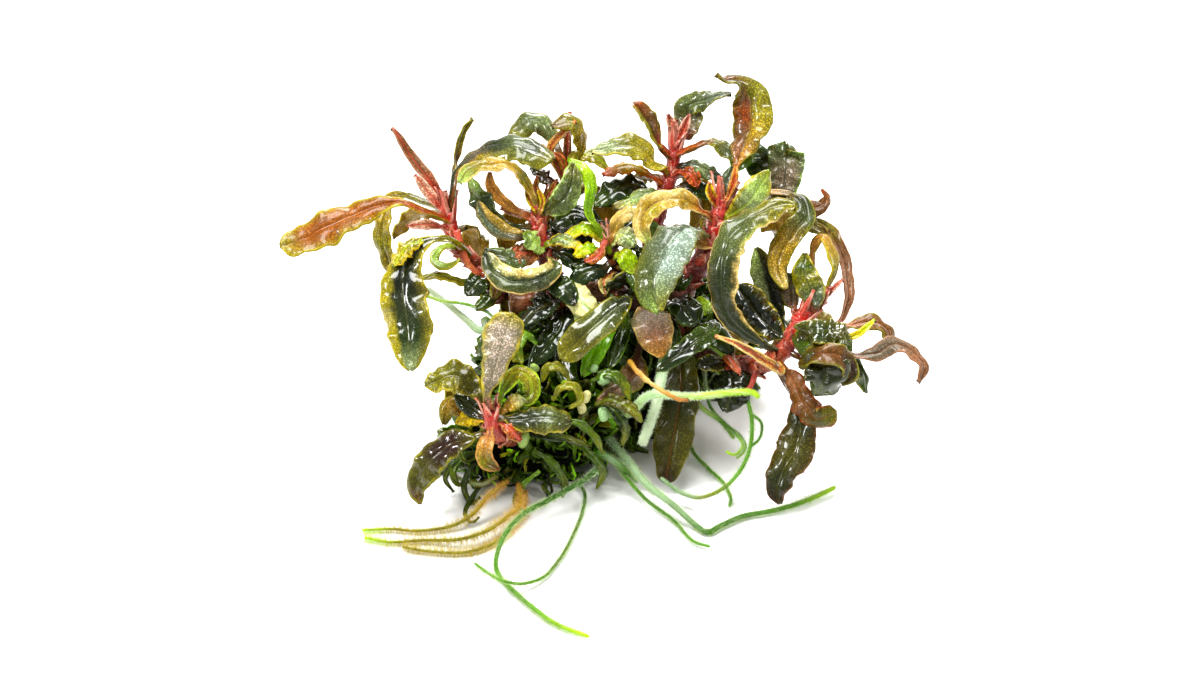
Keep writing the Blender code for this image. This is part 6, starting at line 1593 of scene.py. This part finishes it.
def add_lump(centre, radii):
    """A dark uneven core that the small leaves stand on, partly painted shade deep in the clump."""
    lump = add_ball(28, 18, radius=1)
    for vertex in lump.data.vertices:
        out = vertex.co.copy()
        swell = 0.70 + 0.14 * noise.noise(out * 2.3 + centre) + 0.06 * noise.noise(out * 6 + centre)
        spot = centre + Vector([c * r * swell for c, r in zip(out, radii)])
        spot.z = max(spot.z, 0.0)
        vertex.co = spot * MM
    paint_plain(lump, "black green", "painted_shade_core")
    return lump


def add_bud(place, size, colour):
    """A small pale bud, a little taller than wide and uneven."""
    middle = board_point(*place)
    bud = add_ball(14, 9, radius=size * MM, location=middle * MM)
    bpy.ops.transform.resize(value=(1.0, 0.85, 1.15))
    bpy.ops.object.transform_apply(location=True, rotation=True, scale=True)
    for vertex in bud.data.vertices:
        vertex.co += (vertex.co - middle * MM) * 0.55 * noise.noise(vertex.co / MM * 0.9)
    paint_plain(bud, colour, "bud")
    return bud


def paint_plain(piece, colour, finish):
    """One colour and one finish for a whole piece."""
    mesh = piece.data
    count = len(mesh.vertices)
    write_layers(mesh, [FAR_FROM_EDGE] * count, [[*colour_of(colour), 1.0]] * count)
    mesh.materials.append(material(finish))
    bpy.ops.object.shade_smooth()


def depth_in(spot, middle, radii):
    """0 in the middle of a lump, and 1 on its surface."""
    return sum(((place - centre) / radius) ** 2 for place, centre, radius in zip(spot, middle, radii))


def scattered_leaves(chance):
    """Where the small leaves stand on the lumps, which pattern each takes and its colour."""
    placings = []
    total = sizes().small_leaves
    weights = [radii[0] * radii[1] for _, radii in LUMPS]
    for (centre, radii), weight in zip(LUMPS, weights):
        for _ in range(int(total * weight / sum(weights))):
            around = chance.random() * math.tau
            height = chance.uniform(-0.5, 1)
            ring = math.sqrt(max(1 - height * height, 0))
            out = Vector((ring * math.cos(around), ring * math.sin(around), height))
            deep = chance.uniform(0.62, 0.86)
            foot = Vector(centre) + Vector([c * r * deep for c, r in zip(out, radii)])
            if foot.z < LOWEST_FOOT or min(depth_in(foot, *lump) for lump in LUMPS) < INSIDE_LUMP:
                continue
            way = Vector([c / r for c, r in zip(out, radii)]).normalized()
            way += Vector((chance.uniform(-0.7, 0.7), chance.uniform(-0.7, 0.7), chance.uniform(-0.3, 0.6)))
            turn = way.to_track_quat("Z", "Y").to_matrix().to_4x4()
            spin = Matrix.Rotation(chance.random() * math.tau, 4, "Z")
            size = chance.uniform(0.55, 1.0) if foot.y < SMALL_TO else chance.uniform(0.7, 1.15)
            if foot.y > SHRUNK_FROM:
                size *= 0.7
            matrix = Matrix.Translation(foot * MM) @ turn @ spin @ Matrix.Scale(size, 4)
            front = foot.y < NARROW_TO and foot.z < NARROW_UNDER
            number = chance.choice(FRONT_PATTERNS if front else BACK_PATTERNS)
            colour = chance.choice(FRONT_GREENS if foot.y < BRIGHT_TO else BACK_GREENS)
            if chance.random() < (BRIGHT_IN_FRONT if foot.y < BRIGHT_TO else BRIGHT_BEHIND):
                colour = "bright green"
            placings.append((number, matrix, colour_of(colour)))
    return placings


def grow_low_growth():
    """The dense small leaves at the foot of the clump over a dark core, in place of the lumpy solid."""
    deselect_all()
    pieces = [add_lump(Vector(centre), radii) for centre, radii in LUMPS]
    patterns = [small_pattern(*shape) for shape in PATTERNS]
    placings = scattered_leaves(random.Random(sizes().seed))
    growth = copies_of("undergrowth_leaves", patterns, placings, "undergrowth")
    for vertex in growth.data.vertices:
        vertex.co.z = max(vertex.co.z, FLOOR_GAP * MM)
    for number, (width, route, colour) in enumerate(FRONDS):
        places = []
        for across, up, near in points(route):
            height = max(board_point(across, up, near).z, 0.5 + width * 0.35)
            places.append(on_floor(across, up, height))
        pieces.append(add_leaf(f"frond_{number}", width, places, f"{colour}, {colour}, olive", rim=colour,
                               under=colour, stalk=0.05, waves=0.4, along=30, across=6, stalk_width=0.5,
                               thick=0.7, finish="undergrowth", seed=number * 1.9))
    pieces += [add_bud(*bud) for bud in BUDS]
    finish_piece(join("undergrowth", [growth] + pieces), "undergrowth")


def grow_dead_stalk():
    """The pale stalk of a leaf that is gone, in front of the middle."""
    places = [(4.5, -3.7, 6.4), (4.7, -3.9, 10), (5.8, -5.3, 12.2), (8.4, -7.4, 12.9), (11.4, -9.1, 13.2),
              (13.4, -9.4, 13.2)]
    stalk = add_tube("stalk_dead", 0.42, places, "orange, ochre, tan, beige, tan, brown", "stalk", 0.3,
                     spacing=0.2, wander=0.4)
    finish_piece(stalk, "stalk_dead")


# Stage


# The floor's size in metres, and the lens and the sensor of the camera in millimetres.
FLOOR_SIZE = 4
LENS = 100
SENSOR_WIDTH = 36

# Lamps: name, place in metres, width and height in metres, watts.
LAMPS = [
    ("top softbox", (-0.06, 0.06, 0.62), (0.36, 0.30), 4.8),
    ("back softbox", (0.08, 0.70, 0.46), (0.40, 0.18), 3.8),
    ("left softbox", (-0.50, -0.24, 0.42), (0.12, 0.16), 2.4),
    ("right softbox", (0.52, -0.10, 0.42), (0.12, 0.16), 1.6),
]


def set_stage():
    """A pale floor, soft studio lights and the camera."""
    choice = bpy.context.scene.plant_stage
    deselect_all()
    bpy.ops.mesh.primitive_plane_add(size=FLOOR_SIZE)
    floor = bpy.context.object
    floor.name = "floor"
    paint = bpy.data.materials.new("pale floor")
    paint.use_nodes = True
    shader = paint.node_tree.nodes["Principled BSDF"]
    shader.inputs["Base Color"].default_value = (*choice.floor_colour, 1)
    shader.inputs["Roughness"].default_value = 0.32
    shader.inputs["Specular IOR Level"].default_value = 0.4
    floor.data.materials.append(paint)
    centre = BOARD_CENTRE * MM
    for name, place, (wide, high), power in LAMPS:
        bpy.ops.object.light_add(type="AREA", location=place)
        lamp = bpy.context.object
        lamp.name = name
        lamp.data.shape = "RECTANGLE"
        lamp.data.size = wide
        lamp.data.size_y = high
        lamp.data.energy = power * choice.light_power
        lamp.rotation_euler = (Vector(place) - centre).to_track_quat("Z", "Y").to_euler()
    world = bpy.data.worlds.new("studio")
    world.use_nodes = True
    background = world.node_tree.nodes["Background"]
    background.inputs["Color"].default_value = (1.0, 1.0, 1.0, 1)
    background.inputs["Strength"].default_value = choice.room_light
    bpy.context.scene.world = world
    bpy.ops.object.camera_add(location=centre + NEAR * VIEW_DISTANCE * MM)
    camera = bpy.context.object
    camera.data.lens = LENS
    camera.data.sensor_width = SENSOR_WIDTH
    camera.rotation_euler = NEAR.to_track_quat("Z", "Y").to_euler()
    bpy.context.scene.camera = camera
    bpy.context.scene.view_settings.view_transform = "Standard"
    bpy.context.scene.view_settings.look = "Medium High Contrast"


# The add-on


class PlantSizes(bpy.types.PropertyGroup):
    """Sizes of the plant that a user would change."""

    leaf_width: FloatProperty(
        name="Leaf width", description="Makes every leaf wider or narrower",
        default=1.0, min=0.2, max=2.0, subtype="FACTOR")
    stalk_thickness: FloatProperty(
        name="Stalk thickness", description="How thick a leaf's stalk is",
        default=0.0009, min=0.0002, max=0.003, precision=4, unit="LENGTH")
    waviness: FloatProperty(
        name="Waviness", description="How strongly the edges of the leaves ripple",
        default=1.0, min=0.0, max=3.0, subtype="FACTOR")
    wetness: FloatProperty(
        name="Wetness", description="How strong the wet film on the leaves is",
        default=1.0, min=0.0, max=1.0, subtype="FACTOR")
    root_width: FloatProperty(
        name="Root width", description="Makes the long roots thicker or thinner",
        default=1.0, min=0.2, max=2.0, subtype="FACTOR")
    fuzz_length: FloatProperty(
        name="Fuzz length", description="Makes the fuzz on the roots longer or shorter",
        default=1.0, min=0.0, max=3.0, subtype="FACTOR")
    hairs_per_mm: IntProperty(
        name="Hairs per millimetre", description="How dense the fuzz on the roots is",
        default=115, min=1, max=200)
    small_leaves: IntProperty(
        name="Small leaves", description="How many small leaves the low growth has",
        default=1850, min=0, max=2000)
    seed: IntProperty(
        name="Seed", description="Another value scatters the low growth another way",
        default=4, min=0)


class PlantColours(bpy.types.PropertyGroup):
    """Colours of the plant that a user would change."""

    shoot: FloatVectorProperty(
        name="Shoots", description="Colour of the young rhizomes and their sheaths",
        default=PALETTE["red"], min=0.0, max=1.0, subtype="COLOR")
    rim: FloatVectorProperty(
        name="Leaf rims", description="Colour of the edge of most leaves",
        default=PALETTE["yellow olive"], min=0.0, max=1.0, subtype="COLOR")
    young_leaf: FloatVectorProperty(
        name="Young leaves", description="Colour of the brightest young leaves",
        default=PALETTE["bright green"], min=0.0, max=1.0, subtype="COLOR")
    moss: FloatVectorProperty(
        name="Low growth", description="Colour of most small leaves at the foot",
        default=PALETTE["moss"], min=0.0, max=1.0, subtype="COLOR")
    root: FloatVectorProperty(
        name="Roots", description="Colour of the green roots under their fuzz",
        default=PALETTE["root green"], min=0.0, max=1.0, subtype="COLOR")
    fuzz: FloatVectorProperty(
        name="Golden fuzz", description="Colour of the fuzz on the roots at the left",
        default=PALETTE["root fuzz"], min=0.0, max=1.0, subtype="COLOR")
    pale_root: FloatVectorProperty(
        name="Pale roots", description="Colour of the fuzz on the white roots",
        default=PALETTE["root white"], min=0.0, max=1.0, subtype="COLOR")


class StageSettings(bpy.types.PropertyGroup):
    """The floor and the light round the plant."""

    floor_colour: FloatVectorProperty(
        name="Floor colour", description="Colour of the surface under the plant",
        default=(0.90, 0.90, 0.89), min=0.0, max=1.0, subtype="COLOR")
    light_power: FloatProperty(
        name="Light power", description="Makes all the lamps stronger or weaker",
        default=1.0, min=0.0, max=5.0, subtype="FACTOR")
    room_light: FloatProperty(
        name="Room light", description="How bright the even light from all round is",
        default=0.45, min=0.0, max=3.0)


class PLANT_OT_left_rosette(bpy.types.Operator):
    """Grows the rosette at the left"""

    bl_idname = "plant.left_rosette"
    bl_label = "Left rosette"
    bl_options = {"REGISTER", "UNDO"}

    def execute(self, context):
        grow_rosette(LEFT_LEAVES, "shoot_left", "shoot_red", "wine, wine, rust, red, red", LEFT_SMALL)
        return {"FINISHED"}


class PLANT_OT_middle_rosette(bpy.types.Operator):
    """Grows the rosette in the middle"""

    bl_idname = "plant.middle_rosette"
    bl_label = "Middle rosette"
    bl_options = {"REGISTER", "UNDO"}

    def execute(self, context):
        grow_rosette(MIDDLE_LEAVES, "shoot_middle", "shoot_red", "wine, wine, red, red", MIDDLE_SMALL)
        return {"FINISHED"}


class PLANT_OT_back_rosettes(bpy.types.Operator):
    """Grows the two small rosettes behind"""

    bl_idname = "plant.back_rosettes"
    bl_label = "Back rosettes"
    bl_options = {"REGISTER", "UNDO"}

    def execute(self, context):
        grow_rosette([], "shoot_back", "rhizome", "dark wine, wine, rust, tan", BACK_SMALL,
                     bract_tones="wine, rust, tan, brown", reach=3.0)
        grow_rosette([], "shoot_centre", "rhizome", "wine, dark wine, dark wine", CENTRE_SMALL, crown=3,
                     bract_tones="wine, brown, olive", reach=2.6, scales=2)
        return {"FINISHED"}


class PLANT_OT_top_rosette(bpy.types.Operator):
    """Grows the rosette at the top"""

    bl_idname = "plant.top_rosette"
    bl_label = "Top rosette"
    bl_options = {"REGISTER", "UNDO"}

    def execute(self, context):
        grow_rosette(TOP_LEAVES, "shoot_top", "shoot_red", "dark wine, wine, wine, red, red", TOP_SMALL)
        return {"FINISHED"}


class PLANT_OT_upper_right_rosette(bpy.types.Operator):
    """Grows the rosette at the upper right"""

    bl_idname = "plant.upper_right_rosette"
    bl_label = "Upper right rosette"
    bl_options = {"REGISTER", "UNDO"}

    def execute(self, context):
        grow_rosette(UPPER_RIGHT_LEAVES, "shoot_upper_right", "shoot_red", "dark wine, wine, wine, red, red",
                     UPPER_RIGHT_SMALL)
        return {"FINISHED"}


class PLANT_OT_right_rosette(bpy.types.Operator):
    """Grows the rosette at the right"""

    bl_idname = "plant.right_rosette"
    bl_label = "Right rosette"
    bl_options = {"REGISTER", "UNDO"}

    def execute(self, context):
        grow_rosette(RIGHT_LEAVES, "shoot_right", "shoot_red", "dark wine, wine, wine, rust, red, red",
                     RIGHT_SMALL)
        return {"FINISHED"}


class PLANT_OT_centre_leaves(bpy.types.Operator):
    """Grows the rhizome in the middle with its leaves and the dead stalk"""

    bl_idname = "plant.centre_leaves"
    bl_label = "Centre"
    bl_options = {"REGISTER", "UNDO"}

    def execute(self, context):
        grow_rosette(CENTRE_LEAVES, "rhizome_centre", "rhizome",
                     "brown, wine, pink brown, dark wine, dark wine, wine", RHIZOME_SMALL, crown=0, scales=3)
        grow_dead_stalk()
        return {"FINISHED"}


class PLANT_OT_lower_left_rosette(bpy.types.Operator):
    """Grows the rosette at the lower left"""

    bl_idname = "plant.lower_left_rosette"
    bl_label = "Lower left rosette"
    bl_options = {"REGISTER", "UNDO"}

    def execute(self, context):
        grow_rosette(LOWER_LEFT_LEAVES, "shoot_lower_left", "shoot_red", "wine, rust, red, red",
                     LOWER_LEFT_SMALL, crown=3, scales=2, reach=2.6)
        return {"FINISHED"}


class PLANT_OT_roots(bpy.types.Operator):
    """Grows the long roots with their fuzz"""

    bl_idname = "plant.roots"
    bl_label = "Roots"
    bl_options = {"REGISTER", "UNDO"}

    def execute(self, context):
        for number, shape in enumerate(ROOTS):
            grow_root(seed=number + 1, **shape)
        return {"FINISHED"}


class PLANT_OT_low_growth(bpy.types.Operator):
    """Scatters the dense small leaves at the foot"""

    bl_idname = "plant.low_growth"
    bl_label = "Low growth"
    bl_options = {"REGISTER", "UNDO"}

    def execute(self, context):
        grow_low_growth()
        return {"FINISHED"}


class PLANT_OT_stage(bpy.types.Operator):
    """Sets the floor, the lights and the camera"""

    bl_idname = "plant.stage"
    bl_label = "Stage"
    bl_options = {"REGISTER", "UNDO"}

    def execute(self, context):
        set_stage()
        return {"FINISHED"}


STEPS = [
    PLANT_OT_left_rosette,
    PLANT_OT_middle_rosette,
    PLANT_OT_back_rosettes,
    PLANT_OT_top_rosette,
    PLANT_OT_upper_right_rosette,
    PLANT_OT_right_rosette,
    PLANT_OT_centre_leaves,
    PLANT_OT_lower_left_rosette,
    PLANT_OT_roots,
    PLANT_OT_low_growth,
    PLANT_OT_stage,
]


class PLANT_PT_panel(bpy.types.Panel):
    """The steps of the plant with its sizes and colours."""

    bl_label = "Plant"
    bl_idname = "PLANT_PT_panel"
    bl_space_type = "VIEW_3D"
    bl_region_type = "UI"
    bl_category = "Plant"

    def draw(self, context):
        for step in STEPS:
            self.layout.operator(step.bl_idname)
        for name, group in GROUPS.items():
            box = self.layout.box()
            for value in group.__annotations__:
                box.prop(getattr(context.scene, name), value)


GROUPS = {"plant_sizes": PlantSizes, "plant_colours": PlantColours, "plant_stage": StageSettings}
CLASSES = [*GROUPS.values(), *STEPS, PLANT_PT_panel]


def register():
    for kind in CLASSES:
        bpy.utils.register_class(kind)
    for name, group in GROUPS.items():
        setattr(bpy.types.Scene, name, PointerProperty(type=group))


def unregister():
    for name in GROUPS:
        delattr(bpy.types.Scene, name)
    for kind in reversed(CLASSES):
        bpy.utils.unregister_class(kind)


def main():
    """Builds the whole plant and its stage."""
    register()
    bpy.ops.plant.left_rosette()
    bpy.ops.plant.middle_rosette()
    bpy.ops.plant.back_rosettes()
    bpy.ops.plant.top_rosette()
    bpy.ops.plant.upper_right_rosette()
    bpy.ops.plant.right_rosette()
    bpy.ops.plant.centre_leaves()
    bpy.ops.plant.lower_left_rosette()
    bpy.ops.plant.roots()
    bpy.ops.plant.low_growth()
    bpy.ops.plant.stage()
    deselect_all()


if __name__ == "__main__":
    main()
